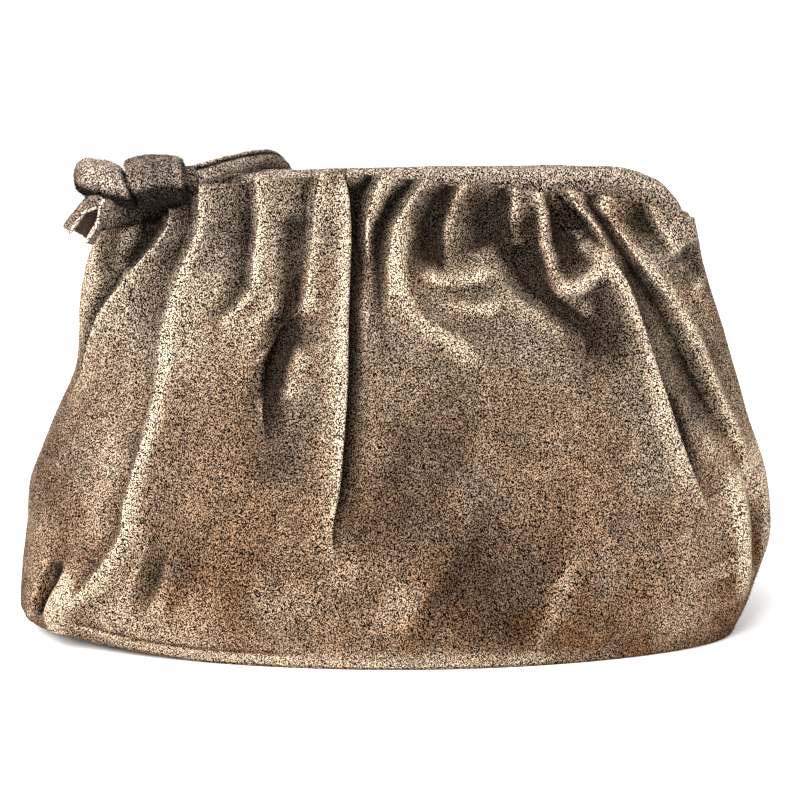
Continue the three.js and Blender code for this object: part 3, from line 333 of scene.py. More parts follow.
def catmull(points, count):
    """Points at even spacing along a smooth curve through the given ones, their directions and its length."""
    p = np.array(points, float)
    ext = np.vstack([2 * p[0] - p[1], p, 2 * p[-1] - p[-2]])
    fine = []
    for k in range(len(p) - 1):
        a, b, c, d = ext[k:k + 4]
        knots = [0]
        for q, r in ((a, b), (b, c), (c, d)):
            knots.append(knots[-1] + math.sqrt(np.linalg.norm(r - q)))
        t0, t1, t2, t3 = knots
        t = np.linspace(t1, t2, 25)[:, None]
        a1 = (t1 - t) / (t1 - t0) * a + (t - t0) / (t1 - t0) * b
        a2 = (t2 - t) / (t2 - t1) * b + (t - t1) / (t2 - t1) * c
        a3 = (t3 - t) / (t3 - t2) * c + (t - t2) / (t3 - t2) * d
        b1 = (t2 - t) / (t2 - t0) * a1 + (t - t0) / (t2 - t0) * a2
        b2 = (t3 - t) / (t3 - t1) * a2 + (t - t1) / (t3 - t1) * a3
        stretch = (t2 - t) / (t2 - t1) * b1 + (t - t1) / (t2 - t1) * b2
        fine.append(stretch if k == len(p) - 2 else stretch[:-1])
    fine = np.vstack(fine)
    length = np.concatenate([[0], np.cumsum(np.linalg.norm(np.diff(fine, axis=0), axis=1))])
    even = np.linspace(0, length[-1], count)
    out = np.stack([np.interp(even, length, fine[:, c]) for c in range(3)], 1)
    run = np.gradient(out, axis=0)
    return out, run / np.linalg.norm(run, axis=1)[:, None], length[-1]


# ---------------------------------------------------------------- meshes


def make(name, vertices, faces, node, wear_and_painted_light=None, smooth_shade=True):
    """A piece in the row frame from millimetres, standing for a node."""
    mesh = bpy.data.meshes.new(name)
    mesh.from_pydata((np.asarray(vertices) * MM).tolist(), [], faces)
    # The attribute carries each piece's tone: some wear, painted shade in hollows and painted highlights on ridges.
    if wear_and_painted_light is not None:
        attribute = mesh.attributes.new("wear_and_painted_light", "FLOAT", "POINT")
        attribute.data.foreach_set("value", np.asarray(wear_and_painted_light, np.float32).ravel())
    mesh.validate()
    mesh.update()
    piece = bpy.data.objects.new(name, mesh)
    bpy.context.scene.collection.objects.link(piece)
    if smooth_shade:
        mesh.shade_smooth()
    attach(piece, "root")
    if node:
        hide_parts(node)
    return piece


def grid_faces(across, along, closed=False, flip=False):
    """Quads over a grid whose vertices run along first."""
    faces = []
    for i in range(across if closed else across - 1):
        n = (i + 1) % across
        for j in range(along - 1):
            quad = (i * along + j, n * along + j, n * along + j + 1, i * along + j + 1)
            faces.append(quad[::-1] if flip else quad)
    return faces


def tube_faces(rings, around):
    """Faces of a tube whose rings follow each other, with both of its ends closed."""
    faces = [(i * around + j, i * around + (j + 1) % around, (i + 1) * around + (j + 1) % around,
              (i + 1) * around + j) for i in range(rings - 1) for j in range(around)]
    faces.append(tuple(range(around))[::-1])
    faces.append(tuple((rings - 1) * around + j for j in range(around)))
    return faces


# ---------------------------------------------------------------- the body's cross-sections

# Steps from the middle of a section to its side, by angle and by distance, and the heights of the tables.
HALF_STEPS = 72
ARC_STEPS = 200
HEIGHTS = np.linspace(0, 1, 301)


class Body:
    """Half of the body, in front or behind, as tables over height and distance along its section."""

    def __init__(self, behind):
        table = columns(SECTION_COLUMNS, SECTIONS)
        at = {k: curve_at(table["height"], v, HEIGHTS) for k, v in table.items() if k != "height"}
        depth = BODY_DEPTH * at["back" if behind else "front"]
        bulge = BODY_DEPTH * at["hind" if behind else "bulge"]
        sign = 1 if behind else -1
        angle = np.linspace(0, math.pi / 2, HALF_STEPS + 1)[None, :]
        s, c = np.sin(angle), np.clip(np.cos(angle), 0, 1)
        power = at["round"][:, None]
        reach = 1 / (s ** power + c ** power) ** (1 / power)
        self.share = s * reach
        self.sides = {}
        even = np.linspace(0, 1, ARC_STEPS + 1)
        for side in (-1, 1):
            width = BODY_HALF_WIDTH * at["left" if side < 0 else "right"][:, None]
            x = side * width * self.share
            y = sign * (depth[:, None] * c * reach + bulge[:, None] * (1 - self.share ** 2))
            run = np.concatenate(
                [np.zeros((len(x), 1)), np.cumsum(np.hypot(np.diff(x), np.diff(y)), axis=1)], axis=1)
            whole = run[:, -1]
            px = np.stack([np.interp(even * w, r, row) for w, r, row in zip(whole, run, x)])
            py = np.stack([np.interp(even * w, r, row) for w, r, row in zip(whole, run, y)])
            tx, ty = np.gradient(px, axis=1), np.gradient(py, axis=1)
            tx[:, 0], ty[:, 0] = side, 0
            for _ in range(3):
                tx[:, 1:-1] = (tx[:, :-2] + 2 * tx[:, 1:-1] + tx[:, 2:]) / 4
                ty[:, 1:-1] = (ty[:, :-2] + 2 * ty[:, 1:-1] + ty[:, 2:]) / 4
            size = np.hypot(tx, ty)
            nx, ny = ty / size, -tx / size
            turn = np.where(nx * px + ny * py < 0, -1, 1)
            self.sides[side] = (run, whole, px, py, nx * turn, ny * turn)

    def arc_to(self, across):
        """Distance along the section to a share of the half width, for one share at each of HEIGHTS."""
        out = np.empty(len(HEIGHTS))
        for g, a in enumerate(across):
            run = self.sides[-1 if a < 0 else 1][0][g]
            out[g] = math.copysign(np.interp(min(abs(a), 1), self.share[g], run), a)
        return out

    def point_at(self, arc, height):
        """Points and outward directions at distances along the section, at height shares."""
        g = np.clip(height, 0, 1) * (len(HEIGHTS) - 1)
        g0 = np.clip(np.floor(g).astype(int), 0, len(HEIGHTS) - 2)
        tg = g - g0
        out = [np.empty_like(arc) for _ in range(4)]
        for side in (-1, 1):
            here = arc < 0 if side < 0 else arc >= 0
            whole = self.sides[side][1]
            a, b, tt = g0[here], g0[here] + 1, tg[here]
            size = mix(whole[a], whole[b], tt)
            s = np.clip(np.abs(arc[here]) / size, 0, 1) * ARC_STEPS
            s0 = np.clip(np.floor(s).astype(int), 0, ARC_STEPS - 1)
            ts = s - s0
            for target, source in zip(out, self.sides[side][2:]):
                low = mix(source[a, s0], source[a, s0 + 1], ts)
                high = mix(source[b, s0], source[b, s0 + 1], ts)
                target[here] = mix(low, high, tt)
        size = np.hypot(out[2], out[3])
        return out[0], out[1], out[2] / size, out[3] / size


FRONT = Body(False)
BACK = Body(True)


# A stroke fades over this share of its length, and keeps this much at its end. One that starts above this
# share of the body's height lies in the gathers at the top, and doesn't fade towards its start.
STROKE_FADE = 0.25
STROKE_END = 0.15
STROKE_TOP = 0.86


def fade(share):
    """What a stroke keeps at a share of its length from its end."""
    return smooth(share / STROKE_FADE) * (1 - STROKE_END) + STROKE_END


def stroke(path, reach, u, z):
    """A soft stroke along a path, from 0 beside it to 1 on it. It fades out towards its lower end, and
    towards its start unless that lies in the gathers at the top."""
    best, share = np.full(u.shape, np.inf), np.zeros(u.shape)
    lengths = [math.hypot(b[0] - a[0], b[1] - a[1]) for a, b in zip(path[:-1], path[1:])]
    done = 0
    for (ax, az), (bx, bz), length in zip(path[:-1], path[1:], lengths):
        dx, dz = bx - ax, bz - az
        t = np.clip(((u - ax) * dx + (z - az) * dz) / (dx * dx + dz * dz), 0, 1)
        far = np.hypot(u - ax - dx * t, z - az - dz * t)
        share = np.where(far < best, (done + t * length) / sum(lengths), share)
        best = np.minimum(best, far)
        done += length
    kept = fade(1 - share)
    if path[0][1] < STROKE_TOP * BODY_HEIGHT:
        kept = kept * fade(share)
    return bump(best, reach) * kept


def laid_out(body, marks, unit):
    """Marks with their paths in millimetres: distance along the section, and height."""
    laid = []
    for lift, reach, path in marks.values():
        places = []
        for across, height in path:
            arc = np.interp(height, HEIGHTS, body.arc_to(np.full(len(HEIGHTS), across)))
            places.append((arc, height * BODY_HEIGHT))
        laid.append((lift * unit, reach * FOLD_REACH, places))
    return laid


# The height that the rails reach down to, as a share of the body's.
RAILS_FOOT = 0.81


def clear_of_rails(x, y, nx, ny, lift, height):
    """The folds' lift, and more of it where the panel would otherwise run into the rails."""
    rail_end = BODY_HALF_WIDTH * np.where(x < 0, -FRAME_OUTLINE[0][0], FRAME_OUTLINE[-1][0]) + GAP * 2
    rail_face = GAP / 2 + RAIL_THICKNESS + GAP * 2
    over_x = (rail_end - np.abs(x)) / np.maximum(np.abs(nx), 0.001) + SUEDE - lift
    over_y = (rail_face - np.abs(y)) / np.maximum(np.abs(ny), 0.001) + SUEDE - lift
    more = np.maximum(0, np.minimum(over_x, over_y))
    return lift + np.where(height < RAILS_FOOT, 0, more)


# How far a lip hangs over the side below it, as a share of its height and at most.
LIP_SHARE = 0.3
LIP_MOST = 2.4
# The painted highlight on a lip's edge and the painted shade beneath it, each as a tone and its reach.
LIP_PALE, LIP_LIGHT = 0.35, 1.3
LIP_DARK, LIP_SHADE = 0.5, 5.5
# The dip along the side seams.
SEAM_DIP, SEAM_REACH = 1.5, 2.2
# Columns down the side of a lip, rows of the panel's inner face, and the height that the folds rise in.
STEP_COLUMNS = 9
INNER_ROWS = 28
FOOT_RISE = 0.05
# Wrinkles: cell width and height, amount and place in the noise. Their cells get this much taller in the upper
# part of the body, which starts at one share of its height and is whole a second share later.
WRINKLES = [(44, 60, 0.9, 0), (17, 34, 0.55, 1), (7.5, 15, 0.26, 2), (3.4, 6, 0.1, 3)]
WRINKLE_STRETCH = 1.6
UPPER_FROM, UPPER_OVER = 0.45, 0.4
# Relief that makes a whole ridge, the times that the surface is evened out to find it, and how much paler a
# ridge is made, part wear and part painted highlight, for broad folds and for fine ones. Painted shade starts at this
# much hollow and is whole that much later.
BROAD_RELIEF, BROAD_TIMES, BROAD_WEAR_AND_HIGHLIGHT = 2.2, 60, 0.6
FINE_RELIEF, FINE_TIMES, FINE_WEAR_AND_HIGHLIGHT = 0.7, 8, 0.5
HOLLOW_FROM, HOLLOW_OVER = 0.08, 0.4
# The rounding of the panel's top and bottom edge: steps up and out.
TOP_ROLL = [(0.5, -0.25), (0.85, -0.9), (0.9, -1.7), (0.5, -2.5)]
FOOT_ROLL = [(-2.1, -2.6), (-2.2, -1.6), (-1.9, -0.7), (-1.1, -0.15)]


def panel(name, body, folds, edges, marks, painted_light, behind, spacing, rows, wrinkle, node):
    """One panel of the body, its columns following the fold lines and its rows running up."""
    fold = [columns(FOLD_COLUMNS, f) for f in folds]
    edges = np.array(edges) * BODY_HEIGHT
    laid = laid_out(body, marks, FOLD_LIFT)
    toned = laid_out(body, painted_light, 1)
    lines = len(fold)

    def line_at(i, column):
        """A column of one fold line over the height, or of a side seam's plain line."""
        if i < 0 or i >= lines:
            plain = {"across": -1.0 if i < 0 else 1.0, "left": 0, "right": 0}
            return np.full(len(HEIGHTS), plain.get(column, 1.0))
        return curve_at(fold[i]["height"], fold[i][column], HEIGHTS)

    names = FOLD_COLUMNS.split()[1:]
    lines_at = [{c: line_at(i, c) for c in names} for i in range(-1, lines + 1)]
    for line in lines_at:
        line["arc"] = body.arc_to(line["across"])

    def pleat_column(pleat, w):
        """Height, distance along the section, lift and painted tone of the folds (highlight on lips, shade beneath
        them), for one column of one pleat.
        """
        top = mix(edges[pleat][1], edges[pleat + 1][0], w)
        bottom = mix(edges[pleat][3], edges[pleat + 1][2], w)
        z = mix(bottom, top, np.linspace(0, 1, rows + 1))
        h = z / BODY_HEIGHT
        a = {k: np.interp(h, HEIGHTS, v) for k, v in lines_at[pleat].items()}
        b = {k: np.interp(h, HEIGHTS, v) for k, v in lines_at[pleat + 1].items()}
        room = (b["arc"] - a["arc"]) / 4
        start = a["arc"] + np.minimum(PLEAT_STEP / 2 if pleat else GAP / 4, room)
        end = b["arc"] - np.minimum(PLEAT_STEP / 2 if pleat < lines else GAP / 4, room)
        u = mix(start, end, w)
        lift = FOLD_LIFT * a["right"] * bump(u - start, a["right_reach"] * FOLD_REACH)
        lift = lift + FOLD_LIFT * b["left"] * bump(end - u, b["left_reach"] * FOLD_REACH)
        if pleat == 0:
            lift = lift - SEAM_DIP * bump(u - start, SEAM_REACH)
        if pleat == lines:
            lift = lift - SEAM_DIP * bump(end - u, SEAM_REACH)
        over_start = a["left"] - a["right"]
        over_end = b["right"] - b["left"]
        tone = LIP_PALE * (np.clip(-over_start, 0, 1) * bump(u - start, LIP_LIGHT)
                           + np.clip(-over_end, 0, 1) * bump(end - u, LIP_LIGHT))
        tone = tone - LIP_DARK * (np.clip(over_start, 0, 1) * np.exp(-(u - start) / LIP_SHADE)
                                  + np.clip(over_end, 0, 1) * np.exp(-(end - u) / LIP_SHADE))
        return z, u, lift, tone

    table = []
    for pleat in range(lines + 1):
        wide = np.interp(0.5, HEIGHTS, lines_at[pleat + 1]["arc"] - lines_at[pleat]["arc"])
        count = max(8, round(wide / spacing))
        table += [pleat_column(pleat, c / count) for c in range(count + 1)]
        if pleat < lines:
            left, right = table[-1], pleat_column(pleat + 1, 0)
            drop = left[2] - right[2]
            hang = np.sign(drop) * np.minimum(LIP_SHARE * np.abs(drop), LIP_MOST)
            for k in range(1, STEP_COLUMNS + 1):
                s = k / (STEP_COLUMNS + 1)
                z = mix(left[0], right[0], s)
                u = mix(left[1], right[1], s) + hang * math.sin(2 * math.pi * s)
                table.append((z, u, *(mix(left[c], right[c], smooth(s)) for c in (2, 3))))
    z, u, lift, lip_painted_light = (np.array([row[k] for row in table]) for k in range(4))
    height = z / BODY_HEIGHT
    for rise, reach, path in laid:
        lift = lift + rise * stroke(path, reach, u, z)
    folds_only = lift.copy()
    stretch = mix(1, WRINKLE_STRETCH, smooth((height - UPPER_FROM) / UPPER_OVER))
    seed = 11 if behind else 5
    for size_u, size_z, amount, k in WRINKLES:
        lift = lift + wrinkle * amount * noise(u / size_u + 31.7 * k, z / (size_z * stretch), seed + k)
    lift = lift * np.minimum(1, z / (FOOT_RISE * BODY_HEIGHT))
    x, y, nx, ny = body.point_at(u, height)
    lift = clear_of_rails(x, y, nx, ny, lift, height)

    def place(extra, up=0.0, at=slice(None)):
        """Points of the panel, moved out and up."""
        m = lift[:, at] + extra
        return np.stack([x[:, at] + nx[:, at] * m, y[:, at] + ny[:, at] * m, z[:, at] + up], -1)

    first, last = slice(0, 1), slice(rows, rows + 1)
    inside = np.unique(np.linspace(0, rows, INNER_ROWS + 1).astype(int))[::-1]
    sheets = [place(out, up, first) for up, out in FOOT_ROLL]
    sheets.append(place(0.0))
    sheets += [place(out, up, last) for up, out in TOP_ROLL]
    sheets.append(place(-SUEDE)[:, inside])
    points = np.concatenate(sheets, axis=1)
    across, along = points.shape[:2]
    # Painted tone: ridges are made paler, partly as wear and partly as painted highlight; hollows and the sides under
    # lips get painted shade; then the painted strokes of the table are added.
    broad = np.clip((folds_only - spread(folds_only, BROAD_TIMES)) / BROAD_RELIEF, 0, 1)
    fine = np.clip((lift - spread(lift, FINE_TIMES)) / FINE_RELIEF, 0, 1)
    hollow = 1 - openness(place(0.0), np.stack([nx, ny, np.zeros_like(nx)], -1))
    wear_and_painted_light = np.clip(broad * BROAD_WEAR_AND_HIGHLIGHT + fine * FINE_WEAR_AND_HIGHLIGHT, 0, 1)
    wear_and_painted_light = wear_and_painted_light - np.clip((spread(hollow, 1) - HOLLOW_FROM) / HOLLOW_OVER, 0, 1)
    wear_and_painted_light = wear_and_painted_light + lip_painted_light
    for tone, reach, path in toned:
        wear_and_painted_light = wear_and_painted_light + tone * stroke(path, reach, u, z)
    wear_and_painted_light = np.clip(wear_and_painted_light, -1, 1)
    foot, top = len(FOOT_ROLL), len(TOP_ROLL)
    wear_and_painted_light = np.concatenate([
        np.repeat(wear_and_painted_light[:, :1], foot, 1), wear_and_painted_light, np.repeat(wear_and_painted_light[:, -1:], top, 1), wear_and_painted_light[:, inside]], axis=1)
    faces = grid_faces(across, along, flip=behind)
    # The two ends of the sheet, at the side seams, and the way from the inner face to the foot.
    for i in range(across - 1):
        a, b = i * along, (i + 1) * along
        quad = (b, a, a + along - 1, b + along - 1)
        faces.append(quad[::-1] if behind else quad)
    return make(name, points.reshape(-1, 3), faces, node, wear_and_painted_light=wear_and_painted_light)


def openness(points, normals, steps=(1, 2, 3, 5, 8, 12)):
    """How open each point of a grid is over the folds around it, from 0 in a deep crease to 1."""
    seen = np.zeros(points.shape[:2])
    across, along = seen.shape
    directions = [(1, 0), (-1, 0), (0, 1), (0, -1), (1, 1), (-1, -1), (1, -1), (-1, 1)]
    i, j = np.meshgrid(np.arange(across), np.arange(along), indexing="ij")
    for di, dj in directions:
        horizon = np.zeros(seen.shape)
        for step in steps:
            a, b = np.clip(i + di * step, 0, across - 1), np.clip(j + dj * step, 0, along - 1)
            way = points[a, b] - points
            rise = np.einsum("ijk,ijk->ij", way, normals)
            horizon = np.maximum(horizon, rise / (np.linalg.norm(way, axis=-1) + 1.2))
        seen += 1 - horizon
    return seen / len(directions)


def spread(values, times):
    """A grid evened out with its neighbours."""
    out = values.copy()
    for _ in range(times):
        out[1:-1] = (out[:-2] + out[1:-1] + out[2:]) / 3
        out[:, 1:-1] = (out[:, :-2] + out[:, 1:-1] + out[:, 2:]) / 3
    return out


def back_folds():
    """Fold lines of the back panel, in the front's columns: even gathers that fade downwards."""
    folds = []
    for i in range(1, BACK_PLEATS):
        across = -0.86 + 1.72 * i / BACK_PLEATS
        left = across < 0
        slip = 0.02 * math.sin(i * 2.3)
        pair = lambda a, b: (a, b) if left else (b, a)
        folds.append([
            [1, across, *pair(-0.5, 0.4), 0.7, 0.7],
            [0.85, across * 1.01 + slip, *pair(-0.8, 0.7), 0.8, 0.8],
            [0.74, across * 1.02 + slip, *pair(-0.3, 0.5), 0.9, 0.9],
            [BACK_FADE + 0.04 * math.sin(i * 1.7), across * 1.03, 0, 0, 1, 1],
            [0, across * 1.05, 0, 0, 1, 1],
        ])
    return folds


def back_edges():
    """Top and bottom edge of the back panel at each fold line."""
    edges = []
    for i in range(BACK_PLEATS + 1):
        top = mix(BACK_TOP, BACK_SIDE_TOP[2 * i > BACK_PLEATS], abs(i / (BACK_PLEATS / 2) - 1) ** 4)
        corner = BACK_CORNER if i == 0 else BACK_BOTTOM
        edges.append([top, top + (0.006 if 0 < i < BACK_PLEATS else 0), corner, corner])
    return edges


front_panel = panel(
    "front_suede", FRONT, FRONT_FOLDS, FRONT_EDGES, FRONT_MARKS, FRONT_PAINTED_LIGHT, behind=False, spacing=1.25,
    rows=168, wrinkle=1.0, node="front_panel")
back_panel = panel(
    "back_suede", BACK, back_folds(), back_edges(), {}, {}, behind=True, spacing=1.7, rows=120, wrinkle=0.9,
    node="back_panel")


# ---------------------------------------------------------------- base


BASE_SINK = GAP + 0.3
# Rings of the base from its middle outwards, as a share of the rim and of the rim's rise: the underside, the
# rounded edge, which also goes up by some millimetres, and the upper side.
BASE_UNDER = [(0.1, 0), (0.3, 0), (0.5, 0), (0.62, 0), (0.75, 0.02), (0.84, 0.06), (0.9, 0.12), (0.94, 0.4),
              (0.97, 0.7), (0.985, 0.85)]
BASE_EDGE = [(0.992, 0.93, 0.4), (0.996, 1, 1.2), (0.992, 1, BODY_HEIGHT * BACK_BOTTOM - BASE_SINK)]
BASE_OVER = [(0.97, 0.8), (0.9, 0.12), (0.62, 0), (0.1, 0)]


def base():
    """The base panel: a plate whose rim follows the walls' lower edge."""
    def walk(body, count, edges, folds):
        """Points along one wall's lower edge."""
        across = [-1.0] + [f[-1][1] for f in folds] + [1.0]
        edges = np.array(edges)
        places = np.array([body.arc_to(np.full(len(HEIGHTS), a))[0] for a in across])
        half = {s: body.sides[s][1] for s in (-1, 1)}
        arc = mix(-half[-1][0], half[1][0], (np.arange(count) + 0.5) / count)
        k = np.clip(np.searchsorted(places, arc) - 1, 0, len(places) - 2)
        t = (arc - places[k]) / (places[k + 1] - places[k])
        z = BODY_HEIGHT * mix(edges[k, 3], edges[k + 1, 2], t)
        flat = np.where(arc < 0, half[-1][0], half[1][0])
        now = np.where(arc < 0, np.interp(z / BODY_HEIGHT, HEIGHTS, half[-1]),
                       np.interp(z / BODY_HEIGHT, HEIGHTS, half[1]))
        x, y, _, _ = body.point_at(arc / flat * now, z / BODY_HEIGHT)
        return np.stack([x, y, z - BASE_SINK], -1)

    rim = np.vstack([
        walk(FRONT, 190, FRONT_EDGES, FRONT_FOLDS), walk(BACK, 110, back_edges(), back_folds())[::-1]])
    rise = rim[:, 2] - BASE_EDGE[-1][2]
    rings = [(share, level, 0) for share, level in BASE_UNDER] + BASE_EDGE
    rings += [(share, level, BASE_THICKNESS) for share, level in BASE_OVER]
    points = np.stack([np.stack([rim[:, 0] * share, rim[:, 1] * share, rise * level + up], -1)
                       for share, level, up in rings], 1)
    across, along = points.shape[:2]
    faces = grid_faces(across, along, closed=True, flip=True)
    faces.append([i * along for i in range(across)])
    faces.append([i * along + along - 1 for i in range(across)][::-1])
    return make("base_suede", points.reshape(-1, 3), faces, "bottom_panel",
                wear_and_painted_light=np.zeros(across * along))


base_panel = base()


# ---------------------------------------------------------------- frame rails


RAIL_STEPS, RAIL_AROUND = 190, 30
# A rail's length and its way round in millimetres, for the unevenness, and how square its section is.
RAIL_LENGTH, RAIL_GIRTH = 310, 40
RAIL_SQUARE = 2.6
# The padding stands a little higher under the strap, which lies on it there.
PAD_RISE, PAD_PLACE, PAD_REACH = 0.9, -59, 11
# The painted shade that the knot casts on the rails, and the painted highlight along their upper edge.
KNOT_SHADE, KNOT_SHADE_REACH = 1.2, 17
RAIL_HIGHLIGHT, RAIL_HIGHLIGHT_PLACE, RAIL_HIGHLIGHT_REACH = 0.4, 0.1, 0.25


def rail(name, side, node):
    """A suede-covered rail: a rounded bar along the frame's outline, a little uneven like padded cloth."""
    steps, around = RAIL_STEPS, RAIL_AROUND
    path = [[x * BODY_HALF_WIDTH, 0, z * BODY_HEIGHT] for x, z in FRAME_OUTLINE]
    centre, run, _ = catmull(path, steps)
    inward = np.stack([run[:, 2], np.zeros(steps), -run[:, 0]], -1)
    thick = RAIL_THICKNESS / 2
    middle = side * (GAP / 2 + thick)
    angle = 2 * math.pi * np.arange(around) / around
    c, s = np.cos(angle), np.sin(angle)
    down = 0.5 - 0.5 * np.sign(c) * np.abs(c) ** (2 / RAIL_SQUARE)
    out = np.sign(s) * np.abs(s) ** (2 / RAIL_SQUARE)
    along = np.arange(steps)[:, None] / steps * RAIL_LENGTH
    turn = np.arange(around)[None, :] / around * RAIL_GIRTH
    swell = 0.35 * noise(along / 16, turn / 12, 41) + 0.16 * noise(along / 6, turn / 6, 42)
    swell = swell + PAD_RISE * bump(centre[:, :1] - PAD_PLACE, PAD_REACH) * np.clip(c[None, :], 0, 1)
    ends = np.clip(np.minimum(np.arange(steps), steps - 1 - np.arange(steps)) / 4, 0, 1)[:, None] ** 0.5
    d = (down[None, :] - 0.5) * ends + 0.5
    o = out[None, :] * ends
    points = np.stack([
        centre[:, :1] + inward[:, :1] * (d * RAIL_HEIGHT - swell * c[None, :]),
        middle + o * thick + swell * s[None, :] * ends * (0.6 if side < 0 else 0.5),
        centre[:, 2:] + inward[:, 2:] * (d * RAIL_HEIGHT - swell * c[None, :]),
    ], -1)
    faces = [(i * around + (j + 1) % around, (i + 1) * around + (j + 1) % around, (i + 1) * around + j,
              i * around + j) for i in range(steps - 1) for j in range(around)]
    faces.append(list(range(around)))
    faces.append([(steps - 1) * around + j for j in range(around)][::-1])
    # Painted highlight along the rail's top, painted shade under the knot.
    wear_and_painted_light = RAIL_HIGHLIGHT * bump(down - RAIL_HIGHLIGHT_PLACE, RAIL_HIGHLIGHT_REACH)[None, :]
    wear_and_painted_light = wear_and_painted_light - KNOT_SHADE * bump(centre[:, :1] - KNOT_CENTRE[0], KNOT_SHADE_REACH)
    return make(name, points.reshape(-1, 3), faces, node, wear_and_painted_light=wear_and_painted_light)


rail_front = rail("rail_front_suede", -1, "frame_front")
rail_back = rail("rail_back_suede", 1, "frame_back")


# ---------------------------------------------------------------- strap


def sweep(points, run, profile, up=(0, 0, 1)):
    """Rings of a profile along a path, carried without twist from a first direction."""
    side = np.cross(run[0], up)
    side /= np.linalg.norm(side)
    rings = []
    for p, r in zip(points, run):
        side = side - r * np.dot(side, r)
        side /= np.linalg.norm(side)
        top = np.cross(side, r)
        rings.append(p + profile[:, :1] * side + profile[:, 1:] * top)
    return np.array(rings)


STRAP_STEPS, STRAP_AROUND = 330, 30
# The strap's way round in millimetres, for its unevenness.
STRAP_GIRTH = 28
# The groove that the strip's edge lies in and the lip beside it: height as a share of the radius, angle, reach.
GROOVE = (0.42, 0.95, 0.28)
LIP = (0.05, 1.45, 0.25)


def strap():
    """The rolled strip: a round section whose edge lies in a long groove."""
    def along_the_strip(height, place, reach):
        """A ridge that runs along the strip at an angle round it."""
        return height * bump((angle - place + math.pi) % (2 * math.pi) - math.pi, reach)

    steps, count = STRAP_STEPS, STRAP_AROUND
    points, run, length = catmull(STRAP_ROUTE, steps)
    angle = 2 * math.pi * (np.arange(count) / count)
    groove, lip = along_the_strip(*GROOVE), along_the_strip(*LIP)
    radius = STRAP_DIAMETER / 2 * (0.985 - groove + lip)
    profile = np.stack([radius * np.cos(angle), radius * np.sin(angle)], -1)
    rings = sweep(points, run, profile)
    centre = points[:, None, :]
    along = np.arange(steps)[:, None] * length / steps
    turn = np.arange(count)[None, :] / count * STRAP_GIRTH
    swell = 1 + 0.05 * noise(along / 7, turn / 7, 61) + 0.03 * noise(along / 3, turn / 3.5, 62)
    rings = centre + (rings - centre) * swell[..., None]
    # Painted shade in the groove and a painted highlight on the lip beside it.
    wear_and_painted_light = np.repeat((0.7 * lip / LIP[0] - 1.8 * groove / GROOVE[0])[None, :], steps, 0)
    piece = make("strap_rolled", rings.reshape(-1, 3), tube_faces(steps, count), "strap", wear_and_painted_light=wear_and_painted_light)
    return piece


strap_piece = strap()


# ---------------------------------------------------------------- knot and tail


# The two wraps of the knot along its axis, as shares of the knot's radius. Under is the lower half's share
# of the radius, drop how far the middle sinks and lean the slant of the section.
WRAP_COLUMNS = "along radius under drop lean"
LEFT_WRAP = [
    [-2.97, 0.1, 0.9, 0.03, 0.05], [-2.94, 0.36, 0.9, 0.03, 0.06], [-2.84, 0.56, 0.85, 0.02, 0.08],
    [-2.65, 0.72, 0.9, 0.0, 0.12], [-2.35, 0.81, 1.05, 0.0, 0.2], [-2.0, 0.87, 1.1, 0.07, 0.3],
    [-1.6, 0.9, 0.96, 0.17, 0.38], [-1.25, 0.92, 1.0, 0.26, 0.42], [-1.02, 0.87, 1.0, 0.29, 0.44],
    [-0.92, 0.78, 1.0, 0.3, 0.44], [-0.88, 0.66, 1.0, 0.3, 0.44], [-0.89, 0.4, 1.0, 0.3, 0.44],
]
RIGHT_WRAP = [
    [-0.62, 0.4, 1.0, 0.22, 0.42], [-0.7, 0.68, 1.0, 0.22, 0.42], [-0.7, 0.83, 1.0, 0.22, 0.42],
    [-0.62, 0.93, 1.0, 0.21, 0.4], [-0.4, 0.99, 1.0, 0.16, 0.36], [0.0, 0.99, 1.0, 0.07, 0.28],
    [0.45, 0.96, 1.0, 0.0, 0.22], [0.85, 0.91, 1.0, -0.02, 0.18], [1.12, 0.84, 1.0, -0.01, 0.16],
    [1.25, 0.74, 1.0, 0.0, 0.16], [1.27, 0.62, 1.0, 0.0, 0.16], [1.12, 0.5, 1.0, 0.0, 0.16],
]
WRAP_AROUND, WRAP_STEPS = 96, 64
UNDERSIDE_SHADE = 1.9


